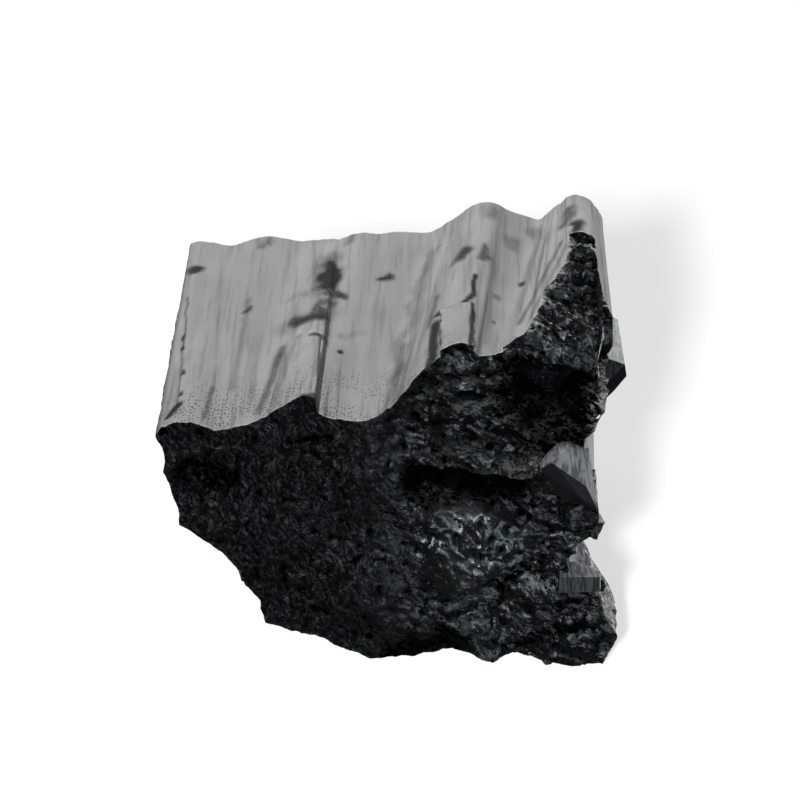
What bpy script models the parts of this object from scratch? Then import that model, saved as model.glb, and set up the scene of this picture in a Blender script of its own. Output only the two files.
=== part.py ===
"""Black tourmaline (schorl): a piece of a ribbed prism, broken across at both ends.

The crystal's long axis runs along Y. The ribbed growth faces are on top and on the right.
Everything else is broken stone. Lengths below are in millimetres, and the part is in metres.
"""

import itertools
import math

import bmesh
import bpy
import numpy as np
from mathutils import Euler, Vector

MM = 0.001

# Driving dimensions
BAR_LENGTH = 38.5  # from the front edge of the ribbed top to its back edge
TOP_HEIGHT = 30.2  # where the leaning front break meets the wedge-shaped rib
FRONT_LEAN = math.radians(15)  # the front break leans back by this much
ORIGIN = (-0.55, 15.49, 0.0)  # the point under the middle of the stone, which becomes the frame's origin
OVERRUN = 14.0  # how far the uncut bar and the cutters run past the finished stone

# Mesh spacing
AROUND = 1.7  # between points around the bar
ALONG = 2.6  # between rings along the bar
FRONT_CELL = 1.25  # cells of the front break
HIDDEN_CELL = 2.0  # cells of the back break and the low break on the right
HIGH_CELL = 1.3  # cells of the slanting break

# The bar's outline, clockwise seen from the front, starting at its left arris.
# name: (x, z) at the front, (x, z) at the back, and "grown" or "broken" for the stretch that follows
OUTLINE = {
    "left arris": ((-26.6, 26.2), (-26.8, 26.3), "grown"),
    "rib 1 left": ((-24.4, 27.4), (-25.7, 26.9), "grown"),
    "rib 1 right": ((-22.9, 27.3), (-24.6, 26.7), "grown"),
    "trough 1": ((-19.4, 26.4), (-21.7, 26.0), "grown"),
    "rib 2": ((-17.4, 26.7), (-17.0, 27.9), "grown"),
    "trough 2": ((-16.2, 27.0), (-13.2, 26.8), "grown"),
    "wedge rib": ((-10.4, 30.1), (-9.6, 27.5), "grown"),
    "wedge rib edge": ((-9.1, 29.7), (-8.9, 27.4), "grown"),
    "wedge rib foot": ((-8.7, 28.4), (-8.5, 27.3), "grown"),
    "rib 3": ((-7.2, 27.9), (-6.1, 28.4), "grown"),
    "trough 3": ((-5.2, 27.6), (-3.6, 28.0), "grown"),
    "rib 4": ((-3.9, 27.7), (-1.8, 28.5), "grown"),
    "slope foot": ((-2.3, 28.0), (2.5, 28.2), "grown"),
    "slope head": ((2.5, 31.9), (6.6, 31.6), "grown"),
    "middle rib left": ((4.1, 32.7), (7.6, 32.4), "grown"),
    "middle rib": ((5.9, 33.3), (9.0, 33.0), "grown"),
    "middle rib right": ((7.6, 32.7), (10.8, 32.5), "grown"),
    "middle rib foot": ((7.9, 32.2), (11.2, 32.1), "grown"),
    "trough 4": ((9.0, 32.2), (15.4, 30.3), "grown"),
    "high rib left": ((18.9, 36.0), (18.7, 33.5), "grown"),
    "high rib": ((20.2, 36.3), (19.7, 34.0), "grown"),
    "high rib right": ((21.6, 35.6), (21.3, 33.6), "grown"),
    "right arris": ((23.7, 32.4), (23.3, 31.0), "grown"),
    "right wall": ((23.9, 28.6), (23.6, 27.0), "grown"),
    "right waist": ((19.9, 25.0), (22.0, 21.0), "grown"),
    "right bulge": ((21.6, 16.4), (22.6, 15.0), "broken"),
    "notch top": ((20.8, 15.5), (21.5, 13.6), "broken"),
    "notch floor": ((20.0, 11.6), (21.0, 11.2), "broken"),
    "low ledge": ((21.4, 8.4), (21.8, 8.0), "broken"),
    "foot bulge": ((23.0, 5.6), (22.6, 5.0), "broken"),
    "foot": ((24.2, 3.6), (22.0, 2.4), "broken"),
    "heel": ((23.0, 0.5), (20.0, 0.1), "broken"),
    "underside 1": ((19.2, -0.5), (17.0, -0.5), "broken"),
    "underside 2": ((13.6, 1.2), (12.5, 0.8), "broken"),
    "underside 3": ((10.5, 0.2), (9.0, -0.5), "broken"),
    "underside 4": ((7.8, 0.9), (5.5, 0.9), "broken"),
    "underside 5": ((1.9, -0.6), (0.0, -0.6), "broken"),
    "underside 6": ((-3.7, 1.2), (-5.0, -0.6), "broken"),
    "underside 7": ((-8.5, 3.0), (-9.5, -0.5), "broken"),
    "underside 8": ((-12.6, 3.6), (-13.0, 0.3), "broken"),
    "left foot": ((-14.6, 4.6), (-15.0, 2.0), "broken"),
    "left flank 1": ((-15.4, 7.0), (-16.6, 5.4), "broken"),
    "left flank 2": ((-18.8, 11.2), (-19.2, 10.2), "broken"),
    "left flank 3": ((-21.3, 13.5), (-22.0, 13.0), "broken"),
    "left flank 4": ((-23.8, 15.7), (-24.2, 17.0), "broken"),
    "left flank 5": ((-25.6, 21.1), (-25.9, 21.5), "faint"),
}
STRETCHES = {"grown": 0.0, "faint": 0.25, "broken": 1.0}  # how strong the broken relief is on each
MIDDLE_HEIGHT = 17.0  # the relief on the bar cuts in towards its middle, at this height

# Relief of the broken surfaces, coarse and then fine. For each layer: how tall it is, how wide,
# the number of its pattern, and the level of the pattern that stays in place.
BAR_RELIEF = ((1.5, 7.0, 11, 0.45), (0.5, 3.2, 23, 0.45))
FRONT_RELIEF = ((-1.3, 6.5, 3, 0.5), (-0.5, 3.0, 41, 0.5))
BACK_RELIEF = ((-1.6, 7.5, 67, 0.3), (-0.5, 3.2, 71, 0.3))
RIGHT_RELIEF = ((-1.4, 6.0, 91, 0.3), (-0.4, 2.8, 97, 0.3))
HIGH_RELIEF = ((0.5, 3.6, 83, 0.4),)

# The front break. Ledges: one end and the other as (x, z), and how far the stone below is cut in.
# Swells: centre and radii as (x, z), and how far the stone stands forward, or back where negative.
UPPER_RIGHT_SETBACK = ((-2.4, 2.5, 6.0, 10.7, 13.3, 17.0), (0.0, 3.3, 4.3, 5.6, 7.0, 7.6))  # x, depth
SETBACK_HEIGHTS = (20.0, 33.5)  # the setback grows between these heights
FRONT_LEDGES = {
    "over the hollow": ((12.6, 30.6), (18.6, 30.2), 3.4),
    "over the gully": ((1.5, 22.6), (14.5, 21.2), 3.4),
    "shoulder": ((4.5, 28.2), (14.0, 24.6), 1.2),
    "under the dome": ((5.0, 8.2), (16.0, 12.4), 1.2),
}
FRONT_SWELLS = {
    "dome": ((8.6, 14.6), (7.0, 5.6), 2.6),
    "lower left": ((-4.0, 9.0), (7.0, 6.0), 1.2),
    "left dent": ((-21.0, 19.5), (4.5, 4.5), -1.4),
    "hollow": ((16.2, 28.4), (4.0, 3.2), -3.2),
}
BOTTOM_FACET = ((-3.5, -0.3, 5.0, 8.2, 9.5), (0.0, 2.9, 5.3, 2.4, 0.0))  # x, and z of its top edge
BOTTOM_FACET_SLOPE = 0.28

# The back break and the low break on the right
BACK_SLOPE = 0.16  # below the square top edge, the back break comes forward by this much per mm
BACK_SWELL = ((-3.0, 13.0), (19.0, 11.0), 3.2)
RIGHT_WALL = 19.0  # x of the low break behind the foot
FOOT_REACH = 6.0  # how much further out the foot stands
FOOT_ENDS = (-1.5, 4.0)  # y where the foot starts to fall back, and where it has
UNDERCUT = 1.4  # how far the low break is cut in at the floor
UNDERCUT_HEIGHT = 6.0

# The slanting break. Its edge is where it meets the ribbed top, from front to back: y, x, z.
HIGH_EDGE = np.array(
    [
        (2.0, 6.0, 31.8), (5.9, 9.0, 31.9), (7.6, 10.7, 32.0), (8.5, 12.1, 32.5), (9.5, 13.3, 32.9),
        (11.8, 14.5, 33.2), (14.9, 15.1, 33.2), (17.9, 15.9, 33.3), (20.1, 17.1, 33.7),
        (23.5, 18.2, 34.1), (26.5, 18.9, 34.3), (30.0, 19.8, 34.4), (32.0, 22.5, 33.5), (34.0, 26.0, 32.0),
    ]
).T
HIGH_FALL = 0.34  # how steeply it falls from that edge to the right
STRIP_AT = 21.9  # x of the narrow strip of the top that is left standing along the right side
STRIP_HEIGHT = 2.4
TREAD = (4.2, 1.8)  # the break is stepped along the bar: length and height of a step

# Small crystals on the right side: the corners that each is the hull of
SMALL_CRYSTALS = {
    "back_right_lath": [
        (20.0, 22.4, 20.6), (23.2, 22.2, 21.6), (25.6, 22.0, 20.8), (25.9, 22.4, 18.9),
        (24.6, 23.0, 16.4), (22.6, 23.4, 13.6), (19.0, 23.4, 11.0),
        (20.0, 32.0, 20.8), (23.4, 32.6, 21.4), (25.2, 32.4, 20.4), (25.4, 32.0, 18.0),
        (24.0, 31.0, 15.0), (19.0, 30.0, 11.0),
    ],
    "right_block": [
        (15.2, -3.2, 23.7), (16.4, -3.4, 24.7), (18.1, -1.0, 24.8), (20.6, 1.0, 23.6), (20.2, -4.2, 22.2),
        (21.4, -4.2, 19.5), (20.2, -4.6, 20.4), (18.3, -4.0, 21.3), (21.6, -3.0, 16.6), (19.0, -2.6, 17.0),
        (20.8, 8.0, 17.4), (19.6, 8.0, 24.0), (15.0, 6.0, 20.0),
    ],
    "right_knob": [
        (18.6, -4.6, 19.2), (20.6, -3.8, 20.0), (21.6, -3.4, 18.8), (21.8, -4.0, 17.6), (21.2, -4.4, 16.4),
        (20.0, -4.8, 15.6), (18.8, -5.4, 17.4), (17.6, -3.6, 16.8), (21.6, 4.0, 18.6), (20.0, 3.0, 15.8),
        (16.0, 3.0, 18.4),
    ],
    "low_lath": [
        (17.7, -5.7, 8.7), (22.2, -5.7, 9.0), (22.3, -5.0, 9.0), (19.9, -3.0, 8.7), (17.7, -3.0, 8.7),
        (17.7, -5.8, 11.0), (22.1, -5.9, 11.2), (22.2, -5.0, 11.2), (19.9, -3.0, 11.0), (17.7, -3.0, 11.0),
    ],
}

# Lumps that stand out and chips that are cut out: centre, radii and turn in degrees
LUMPS = {
    "foot_lump": ((20.4, -4.6, 3.4), (3.6, 3.8, 3.8), (0, 0, 20)),
    "foot_knob": ((21.4, -2.6, 6.6), (1.8, 2.6, 1.8), (0, 0, 0)),
}
CHIPS = {
    "right_corner_chip": ((22.6, -1.2, 28.3), (4.1, 9.0, 2.6), (3, 4, 8)),
    "notch_chip": ((21.8, -3.0, 13.1), (4.4, 8.5, 2.4), (0, 0, 0)),
}
RIGHT_SPALL = ((21.4, -20.0, 27.5), (40.0, 14.6, 50.0))  # two corners of the piece lost at the right
UNDER_FLOOR = ((-40.0, -40.0, -9.0), (40.0, 70.0, 0.0))


# Stone-breaking relief


def hashed(cells, salt):
    """A repeatable number from 0 to 1 for each whole-number cell."""
    mixed = np.sin(cells @ np.array([127.1, 311.7, 74.7]) + 53.3 * salt) * 43758.5453
    return mixed - np.floor(mixed)


def scallops(points, size, salt):
    """Shell-shaped hollows that meet in sharp ridges, from 0 in a hollow to about 1 on a ridge."""
    scaled = points / size
    lowest = np.full(len(scaled), 9.0)
    for step in itertools.product((-1, 0, 1), repeat=3):
        cells = np.floor(scaled) + step
        offset = scaled - cells
        offset -= np.stack([hashed(cells, salt + k) for k in range(3)], axis=-1)
        tilt = np.stack([hashed(cells, salt + 3 + k) - 0.5 for k in range(3)], axis=-1)
        height = (offset * (offset + tilt)).sum(-1) + 0.35 * hashed(cells, salt + 6)
        lowest = np.minimum(lowest, height)
    return lowest


def step(values, start, end):
    """0 up to start, 1 from end on, and an eased rise between them."""
    share = np.clip((values - start) / (end - start), 0.0, 1.0)
    return share * share * (3.0 - 2.0 * share)


def mound(x, z, centre, radii):
    """1 at the centre of an ellipse, falling smoothly to 0 at its rim."""
    reach = ((x - centre[0]) / radii[0]) ** 2 + ((z - centre[1]) / radii[1]) ** 2
    return np.clip(1.0 - reach, 0.0, 1.0) ** 1.5


def ledge(x, z, start, end, drop):
    """A lip along a line, standing proud above it and cut in under it, fading at both ends."""
    along = np.array(end) - np.array(start)
    length = np.linalg.norm(along)
    run = ((x - start[0]) * along[0] + (z - start[1]) * along[1]) / length
    above = ((z - start[1]) * along[0] - (x - start[0]) * along[1]) / length
    ends = step(run, -1.5, 1.5) * (1.0 - step(run, length - 1.5, length + 1.5))
    lip = -0.45 * np.exp(-np.maximum(above, 0.0) / 3.0)
    hollow = np.exp(-(np.minimum(above, 0.0) ** 2) / (2.0 * 2.4**2))
    side = step(above, -0.9, 0.5)
    return drop * ends * (lip * side + hollow * (1.0 - side))


def relief(points, layers):
    """The sum of several layers of scallops at these points."""
    return sum(tall * (scallops(points, wide, salt) - level) for tall, wide, salt, level in layers)


# The bar


def placed(point):
    """A point given in millimetres, in metres from the part's origin."""
    return (Vector(point) - Vector(ORIGIN)) * MM


def outline_at(share):
    """Points around the bar, as (x, z, relief), at a share of the way from front to back."""
    lines = list(OUTLINE.values())
    found = []
    for here, after in zip(lines, lines[1:] + lines[:1]):
        pieces = max(1, round(math.dist(here[0], after[0]) / AROUND))
        start = Vector(here[0]).lerp(Vector(here[1]), share)
        end = Vector(after[0]).lerp(Vector(after[1]), share)
        for k in range(pieces):
            x, z = start.lerp(end, k / pieces)
            found.append((x, z, STRETCHES[here[2]]))
    return np.array(found)


def roughen(points, strength):
    """Cuts scallops into the broken stretches, towards the bar's middle."""
    middle = np.array([0.0, 0.0, MIDDLE_HEIGHT])
    inward = (middle - points) * np.array([1.0, 0.0, 1.0])
    inward /= np.linalg.norm(inward, axis=1, keepdims=True)
    return points - inward * (strength * relief(points, BAR_RELIEF))[:, None]


def make_bar():
    """The whole prism before it broke: a sheet wrapped round its outline and closed at both ends."""
    around = len(outline_at(0.0))
    along = round((BAR_LENGTH + 2 * OVERRUN) / ALONG)
    bm = bmesh.new()
    bmesh.ops.create_grid(bm, x_segments=around, y_segments=along, size=0.5)
    for ring in range(along + 1):
        y = -OVERRUN + (BAR_LENGTH + 2 * OVERRUN) * ring / along
        x, z, strength = outline_at(min(max(y / BAR_LENGTH, 0.0), 1.0)).T
        points = roughen(np.column_stack([x, np.full(around, y), z]), strength)
        for vert in bm.verts:
            if round((vert.co.y + 0.5) * along) == ring and not vert.tag:
                vert.co = placed(points[round((vert.co.x + 0.5) * around) % around])
                vert.tag = True
    bmesh.ops.remove_doubles(bm, verts=bm.verts, dist=1e-6)
    bmesh.ops.holes_fill(bm, edges=[e for e in bm.edges if e.is_boundary])
    bmesh.ops.recalc_face_normals(bm, faces=bm.faces)
    return finished("tourmaline_crystal", bm)


# The breaks


def front_break(x, z):
    """y of the front break. It leans back, draws back at its upper right and has ledges and a dome."""
    y = (z - TOP_HEIGHT) * math.tan(FRONT_LEAN)
    y += np.interp(x, *UPPER_RIGHT_SETBACK) * step(z, *SETBACK_HEIGHTS)
    y += BOTTOM_FACET_SLOPE * np.maximum(np.interp(x, *BOTTOM_FACET) - z, 0.0)
    for start, end, drop in FRONT_LEDGES.values():
        y += ledge(x, z, start, end, drop)
    for centre, radii, forward in FRONT_SWELLS.values():
        y -= forward * mound(x, z, centre, radii)
    return y + relief(np.column_stack([x, np.zeros(len(x)), z]), FRONT_RELIEF)


def back_break(x, z):
    """y of the back break, with its top edge square and a shallow shell-shaped hollow below."""
    centre, radii, deep = BACK_SWELL
    y = BAR_LENGTH + 0.2 - BACK_SLOPE * (28.0 - z) * step(-z, -27.0, -15.0)
    y -= deep * mound(x, z, centre, radii)
    points = np.column_stack([x, np.full(len(x), BAR_LENGTH), z])
    fading = 1.0 - 0.75 * step(z, 24.0, 27.0)
    return y + fading * relief(points, BACK_RELIEF)


def right_break(y, z):
    """x of the low break on the right. It leaves a foot at the front and is cut in behind it."""
    x = RIGHT_WALL + FOOT_REACH * (1.0 - step(y, *FOOT_ENDS))
    x -= UNDERCUT * (1.0 - step(z, 0.0, UNDERCUT_HEIGHT))
    return x + relief(np.column_stack([np.full(len(y), 20.0), y, z]), RIGHT_RELIEF)


def high_break(x, y):
    """z of the slanting break that takes the front off the high rib."""
    edge_y, edge_x, edge_z = HIGH_EDGE
    past_edge = x - np.interp(y, edge_y, edge_x)
    z = np.interp(y, edge_y, edge_z) - HIGH_FALL * past_edge
    z += STRIP_HEIGHT * step(x, STRIP_AT - 0.3, STRIP_AT + 0.3)
    tread = (y + 0.25 * x) / TREAD[0]
    share = tread - np.floor(tread)
    z += step(past_edge, 0.0, 1.2) * TREAD[1] * (step(share, 0.0, 0.3) - share - 0.35)
    return z + relief(np.column_stack([x, 1.6 * y, np.full(len(x), 33.0)]), HIGH_RELIEF)


def waste_block(name, axis, low, high, cell, surface, outer):
    """The stone beyond a break: a grid shaped by surface(a, b), drawn out along axis as far as outer.

    The grid spans the other two axes from low to high, and the surface gives the place along axis.
    """
    bm = bmesh.new()
    counts = [round((end - start) / cell) for start, end in zip(low, high)]
    bmesh.ops.create_grid(bm, x_segments=counts[0], y_segments=counts[1], size=0.5)
    share = np.array([vert.co[:2] for vert in bm.verts]) + 0.5
    a, b = (np.array(low) + share * (np.array(high) - np.array(low))).T
    points = np.insert(np.column_stack([a, b]), axis, surface(a, b), axis=1)
    for vert, point in zip(bm.verts, points):
        vert.co = placed(point)
    drawn = bmesh.ops.extrude_face_region(bm, geom=bm.faces[:])["geom"]
    for vert in drawn:
        if isinstance(vert, bmesh.types.BMVert):
            vert.co[axis] = (outer - ORIGIN[axis]) * MM
    bmesh.ops.recalc_face_normals(bm, faces=bm.faces)
    return as_cutter(finished(name, bm))


def finished(name, bm):
    """An object made from the bmesh, in triangles, which is then freed."""
    bmesh.ops.triangulate(bm, faces=bm.faces)
    mesh = bpy.data.meshes.new(name)
    bm.to_mesh(mesh)
    bm.free()
    obj = bpy.data.objects.new(name, mesh)
    bpy.context.scene.collection.objects.link(obj)
    return obj


def as_cutter(obj):
    """Hides an object that only shapes another."""
    obj.hide_render = True
    obj.display_type = "WIRE"
    return obj


def stone_chip(name, centre, radii, turn=(0.0, 0.0, 0.0)):
    """A rough rounded lump. What it takes out of the crystal leaves a scooped chip."""
    bm = bmesh.new()
    bmesh.ops.create_icosphere(bm, subdivisions=2, radius=1.0)
    points = np.array([vert.co for vert in bm.verts])
    points *= (1.12 - 0.5 * scallops(points + np.array(centre), 0.9, 5))[:, None]
    rotation = Euler([math.radians(angle) for angle in turn]).to_matrix()
    for vert, point in zip(bm.verts, points * np.array(radii)):
        vert.co = placed(rotation @ Vector(point) + Vector(centre))
    return as_cutter(finished(name, bm))


def small_crystal(name, corners):
    """A flat-faced crystal: the hull of its corners, each (x, y, z)."""
    bm = bmesh.new()
    for corner in corners:
        bm.verts.new(placed(corner))
    hull = bmesh.ops.convex_hull(bm, input=bm.verts)
    bmesh.ops.delete(bm, geom=hull["geom_interior"] + hull["geom_unused"], context="VERTS")
    bmesh.ops.recalc_face_normals(bm, faces=bm.faces)
    return as_cutter(finished(name, bm))


def box_corners(low, high):
    """The eight corners of a box between two of them."""
    return list(itertools.product(*zip(low, high)))


def tourmaline():
    """Black tourmaline, which shines like glass where it grew and where it broke."""
    material = bpy.data.materials.new("black_tourmaline")
    material.use_nodes = True
    shader = material.node_tree.nodes["Principled BSDF"]
    shader.inputs["Base Color"].default_value = (0.03, 0.032, 0.036, 1.0)
    shader.inputs["Roughness"].default_value = 0.35
    shader.inputs["Metallic"].default_value = 0.0
    return material


def combine(crystal, other, operation):
    """Adds a Boolean modifier that joins the other object to the crystal or cuts it out."""
    modifier = crystal.modifiers.new(other.name, "BOOLEAN")
    modifier.operation = operation
    modifier.solver = "EXACT"
    modifier.object = other


def main():
    for obj in list(bpy.data.objects):
        bpy.data.objects.remove(obj)
    crystal = make_bar()
    wastes = [
        waste_block("front_waste", 1, (-32.0, -6.0), (32.0, 44.0), FRONT_CELL, front_break, -30.0),
        waste_block("back_waste", 1, (-32.0, -6.0), (32.0, 44.0), HIDDEN_CELL, back_break, 60.0),
        waste_block("right_waste", 0, (-12.0, -6.0), (46.0, 14.0), HIDDEN_CELL, right_break, 40.0),
        waste_block("high_waste", 2, (11.0, 2.0), (30.0, 30.0), HIGH_CELL, high_break, 60.0),
    ]
    spall = small_crystal("right_spall", box_corners(*RIGHT_SPALL))
    chips = [stone_chip(name, *shape) for name, shape in CHIPS.items()]
    for waste in wastes + [spall] + chips:
        combine(crystal, waste, "DIFFERENCE")
    for name, corners in SMALL_CRYSTALS.items():
        combine(crystal, small_crystal(name, corners), "UNION")
    for name, shape in LUMPS.items():
        combine(crystal, stone_chip(name, *shape), "UNION")
    floor = small_crystal("floor_waste", box_corners(*UNDER_FLOOR))
    combine(crystal, floor, "DIFFERENCE")
    crystal.data.materials.append(tourmaline())


main()
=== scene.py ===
# %% [markdown]
# # A black tourmaline crystal
#
# The object is a short length of schorl, the black tourmaline: a bundle of parallel prisms that
# grew together and later broke across. Its growth faces are ribbed and finely striated along
# the crystal's length, and shine like satin. Where it broke, it is rough, dark and full of tiny
# glints. Both kinds of surface meet in crisp edges, so the lesson is about making one solid
# stone whose faces differ.

# %% Load the fixed frame
import itertools
import math
import time

import bmesh
import bpy
import numpy as np
from mathutils import Euler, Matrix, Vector, kdtree


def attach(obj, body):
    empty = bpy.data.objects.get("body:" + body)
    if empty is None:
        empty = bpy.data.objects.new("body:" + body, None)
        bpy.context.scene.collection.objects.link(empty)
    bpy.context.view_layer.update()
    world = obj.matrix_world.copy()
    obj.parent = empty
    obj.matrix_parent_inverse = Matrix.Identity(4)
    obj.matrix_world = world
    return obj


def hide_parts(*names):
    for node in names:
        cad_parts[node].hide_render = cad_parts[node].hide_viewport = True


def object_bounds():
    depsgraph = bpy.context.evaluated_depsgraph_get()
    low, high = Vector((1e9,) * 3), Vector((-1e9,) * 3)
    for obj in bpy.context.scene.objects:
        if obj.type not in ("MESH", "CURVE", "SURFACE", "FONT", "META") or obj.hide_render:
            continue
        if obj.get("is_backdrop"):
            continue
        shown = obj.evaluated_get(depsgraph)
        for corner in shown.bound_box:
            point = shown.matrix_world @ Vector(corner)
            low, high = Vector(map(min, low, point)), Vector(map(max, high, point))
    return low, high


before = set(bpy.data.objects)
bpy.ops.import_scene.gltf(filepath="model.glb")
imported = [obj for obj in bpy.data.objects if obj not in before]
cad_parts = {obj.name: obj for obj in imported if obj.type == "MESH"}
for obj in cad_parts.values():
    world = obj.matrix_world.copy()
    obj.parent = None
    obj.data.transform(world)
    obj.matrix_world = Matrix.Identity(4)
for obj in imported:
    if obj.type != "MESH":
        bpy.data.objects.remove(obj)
cad_box = [list(corner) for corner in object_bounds()]
started = time.perf_counter()
print("CAD box in mm:", [[round(v * 1000, 2) for v in corner] for corner in cad_box])

# %% [markdown]
# ## Driving dimensions
#
# Lengths are in millimetres, because that is how such a stone is measured, and one function at
# the end of every shape turns them into metres about the part's origin. The crystal's long axis
# runs along Y. The front break leans back, and the ribbed top is level.

# %% Driving dimensions
MM = 0.001
ORIGIN = (-0.55, 15.49, 0.0)  # the point under the middle of the stone: the frame's origin
BAR_LENGTH = 38.5  # from the front edge of the ribbed top to its back edge
FRONT_OVERRUN = 11.0  # how far the uncut bar runs past the front edge of the top
BACK_OVERRUN = 4.0  # how far the uncut bar runs past its back edge
TOP_HEIGHT = 30.2  # where the leaning front break meets the wedge-shaped rib
FRONT_LEAN = math.radians(15)  # the front break leans back by this much

GROWN, BROKEN, FACET = 0, 1, 2  # material slots: the ribbed faces, the breaks, small flat crystals

GROWN_STEP = 0.26  # mesh spacing around the bar on its growth faces
ROUGH_STEP = 0.55  # mesh spacing around the bar on its broken faces
ALONG_STEP = 0.62  # mesh spacing along the bar
FRONT_CELL = 0.25  # mesh spacing on the front break
HIGH_CELL = 0.26  # on the slanting break
HIDDEN_CELL = 0.55  # on the back break and the low break at the right


def placed(point):
    """A point given in millimetres, in metres from the part's origin."""
    return (Vector(point) - Vector(ORIGIN)) * MM


# %% [markdown]
# ## Numbers that look like stone
#
# Stone breaks in shell-shaped hollows that meet in sharp ridges, at every size. A Displace
# modifier could lay such a pattern on a mesh, but a plain function can be read at any point of
# any piece, so all the surfaces below share one kind of relief. In a cellular noise, each cell of
# a grid holds one random site. The lowest of the bowls that stand on the sites gives shells, and
# the slanting plane of the nearest site gives flat plates. All of it is written for whole arrays,
# because a surface has tens of thousands of points.

# %% Cellular noise


def hashed(cells, salt):
    """A repeatable number from 0 to 1 for each whole-number cell."""
    mixed = np.sin(cells @ np.array([127.1, 311.7, 74.7]) + 53.3 * salt) * 43758.5453
    return mixed - np.floor(mixed)


def sites(points, size, salt):
    """For each cell around the points: the way from its site, its slant and its random level."""
    scaled = points / size
    for move in itertools.product((-1, 0, 1), repeat=3):
        cells = np.floor(scaled) + move
        offset = scaled - cells
        offset -= np.stack([hashed(cells, salt + k) for k in range(3)], axis=-1)
        slant = np.stack([hashed(cells, salt + 3 + k) - 0.5 for k in range(3)], axis=-1)
        yield offset, slant, hashed(cells, salt + 6)


FAR = 9.0  # further than any site, in cells
SHELL_STEP = 0.35  # how much the floors of two shells can differ
PLATE_STEP = 0.25  # how much the middles of two plates can differ


def scallops(points, size, salt):
    """Shell-shaped hollows that meet in sharp ridges, from 0 in a hollow to about 1 on a ridge."""
    lowest = np.full(len(points), FAR)
    for offset, slant, level in sites(points, size, salt):
        shell = (offset * (offset + slant)).sum(-1) + SHELL_STEP * level
        lowest = np.minimum(lowest, shell)
    return lowest


def relief(points, layers):
    """The sum of several layers of scallops at these points."""
    return sum(tall * (scallops(points, wide, salt) - level) for tall, wide, salt, level in layers)


def plates(points, size, salt):
    """Flat plates that each slant their own way, with small cliffs where one ends."""
    nearest = np.full(len(points), FAR)
    height = np.zeros(len(points))
    for offset, slant, level in sites(points, size, salt):
        reach = (offset**2).sum(-1)
        plate = (offset * slant).sum(-1) + PLATE_STEP * level
        height = np.where(reach < nearest, plate, height)
        nearest = np.minimum(nearest, reach)
    return height


samples = np.array(list(itertools.product((0.0, 1.0), repeat=3)))
print("scallops at", len(samples), "points:", scallops(samples, 1.7, 1).round(2).tolist())

# %% [markdown]
# A smooth noise bends those patterns, so that no row of cells shows. Every fade in the shape is
# an eased step, because a straight ramp would leave a crease at each of its ends.

# %% Smooth noise and eased steps


def step(values, start, end):
    """0 up to start, 1 from end on, and an eased rise between them."""
    share = np.clip((values - start) / (end - start), 0.0, 1.0)
    return share * share * (3.0 - 2.0 * share)


def drift(points, size, salt):
    """Smooth noise from -1 to 1."""
    scaled = points / size
    cells = np.floor(scaled)
    share = step(scaled - cells, 0.0, 1.0)
    total = np.zeros(len(scaled))
    for corner in itertools.product((0, 1), repeat=3):
        weight = np.where(corner, share, 1.0 - share).prod(-1)
        total += weight * hashed(cells + corner, salt)
    return 2.0 * total - 1.0


def warped(points, size, amount, salt):
    """The points, each moved by smooth noise, which bends any pattern that is read at them."""
    moves = [drift(points, size, salt + k) for k in range(3)]
    return points + amount * np.column_stack(moves)


# %% [markdown]
# The breaks have a grain: across the front, flakes run steeply down at the left and more gently
# at the right. Scallops read in a turned and stretched space are flakes, and a mix of two such
# spaces turns the grain on the way across.

# %% Flakes that follow the grain
GRAIN_LEFT, GRAIN_RIGHT = math.radians(-66), math.radians(-27)  # how flakes run across the front
GRAIN_TURNS_AT = (-6.0, 4.0)  # x where the grain starts to turn, and where it has turned


def along_grain(points, turn, length, width):
    """The points in a space that runs with the grain, where one flake is one unit."""
    x, y, z = points.T
    run = x * math.cos(turn) + z * math.sin(turn)
    across = z * math.cos(turn) - x * math.sin(turn)
    return np.column_stack([run / length, y / width, across / width])


def flakes(points, length, width, salt):
    """Scallops stretched along the grain, around a level of zero."""
    left = scallops(along_grain(points, GRAIN_LEFT, length, width), 1.0, salt)
    right = scallops(along_grain(points, GRAIN_RIGHT, length, width), 1.0, salt)
    share = step(points[:, 0], *GRAIN_TURNS_AT)
    return 0.5 - (left + (right - left) * share)


# %% [markdown]
# The larger forms of the front are placed one by one. A swell or a hollow is a smooth mound over
# an ellipse. A ledge is a lip along a line, with the stone cut in under it.

# %% Mounds and ledges
MOUND_POWER = 1.5  # how quickly a mound falls towards its rim
LEDGE_FADE = 1.5  # a ledge fades from this far within its ends to this far past them
LEDGE_TURN = (-0.27, 0.15)  # the turn over the lip starts this far below its line and ends above
LIP_SHARE = 0.2  # how far the lip stands out, as a share of what is cut in under it
LIP_REACH = 5.0  # how far up the lip fades away
HOLLOW_REACH = 2.4  # how far down the cut under it fades away


def mound(x, z, centre, radii):
    """1 at the centre of an ellipse, falling smoothly to 0 at its rim."""
    reach = ((x - centre[0]) / radii[0]) ** 2 + ((z - centre[1]) / radii[1]) ** 2
    return np.clip(1.0 - reach, 0.0, 1.0) ** MOUND_POWER


def ledge(x, z, start, end, drop):
    """A lip along a line, standing proud above it and cut in under it, fading at both ends."""
    along = np.array(end) - np.array(start)
    length = np.linalg.norm(along)
    run = ((x - start[0]) * along[0] + (z - start[1]) * along[1]) / length
    above = ((z - start[1]) * along[0] - (x - start[0]) * along[1]) / length
    ends = step(run, -LEDGE_FADE, LEDGE_FADE)
    ends = ends * (1.0 - step(run, length - LEDGE_FADE, length + LEDGE_FADE))
    lip = -LIP_SHARE * np.exp(-np.maximum(above, 0.0) / LIP_REACH)
    hollow = np.exp(-(np.minimum(above, 0.0) ** 2) / (2.0 * HOLLOW_REACH**2))
    side = step(above, *LEDGE_TURN)
    return drop * ends * (lip * side + hollow * (1.0 - side))


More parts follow.
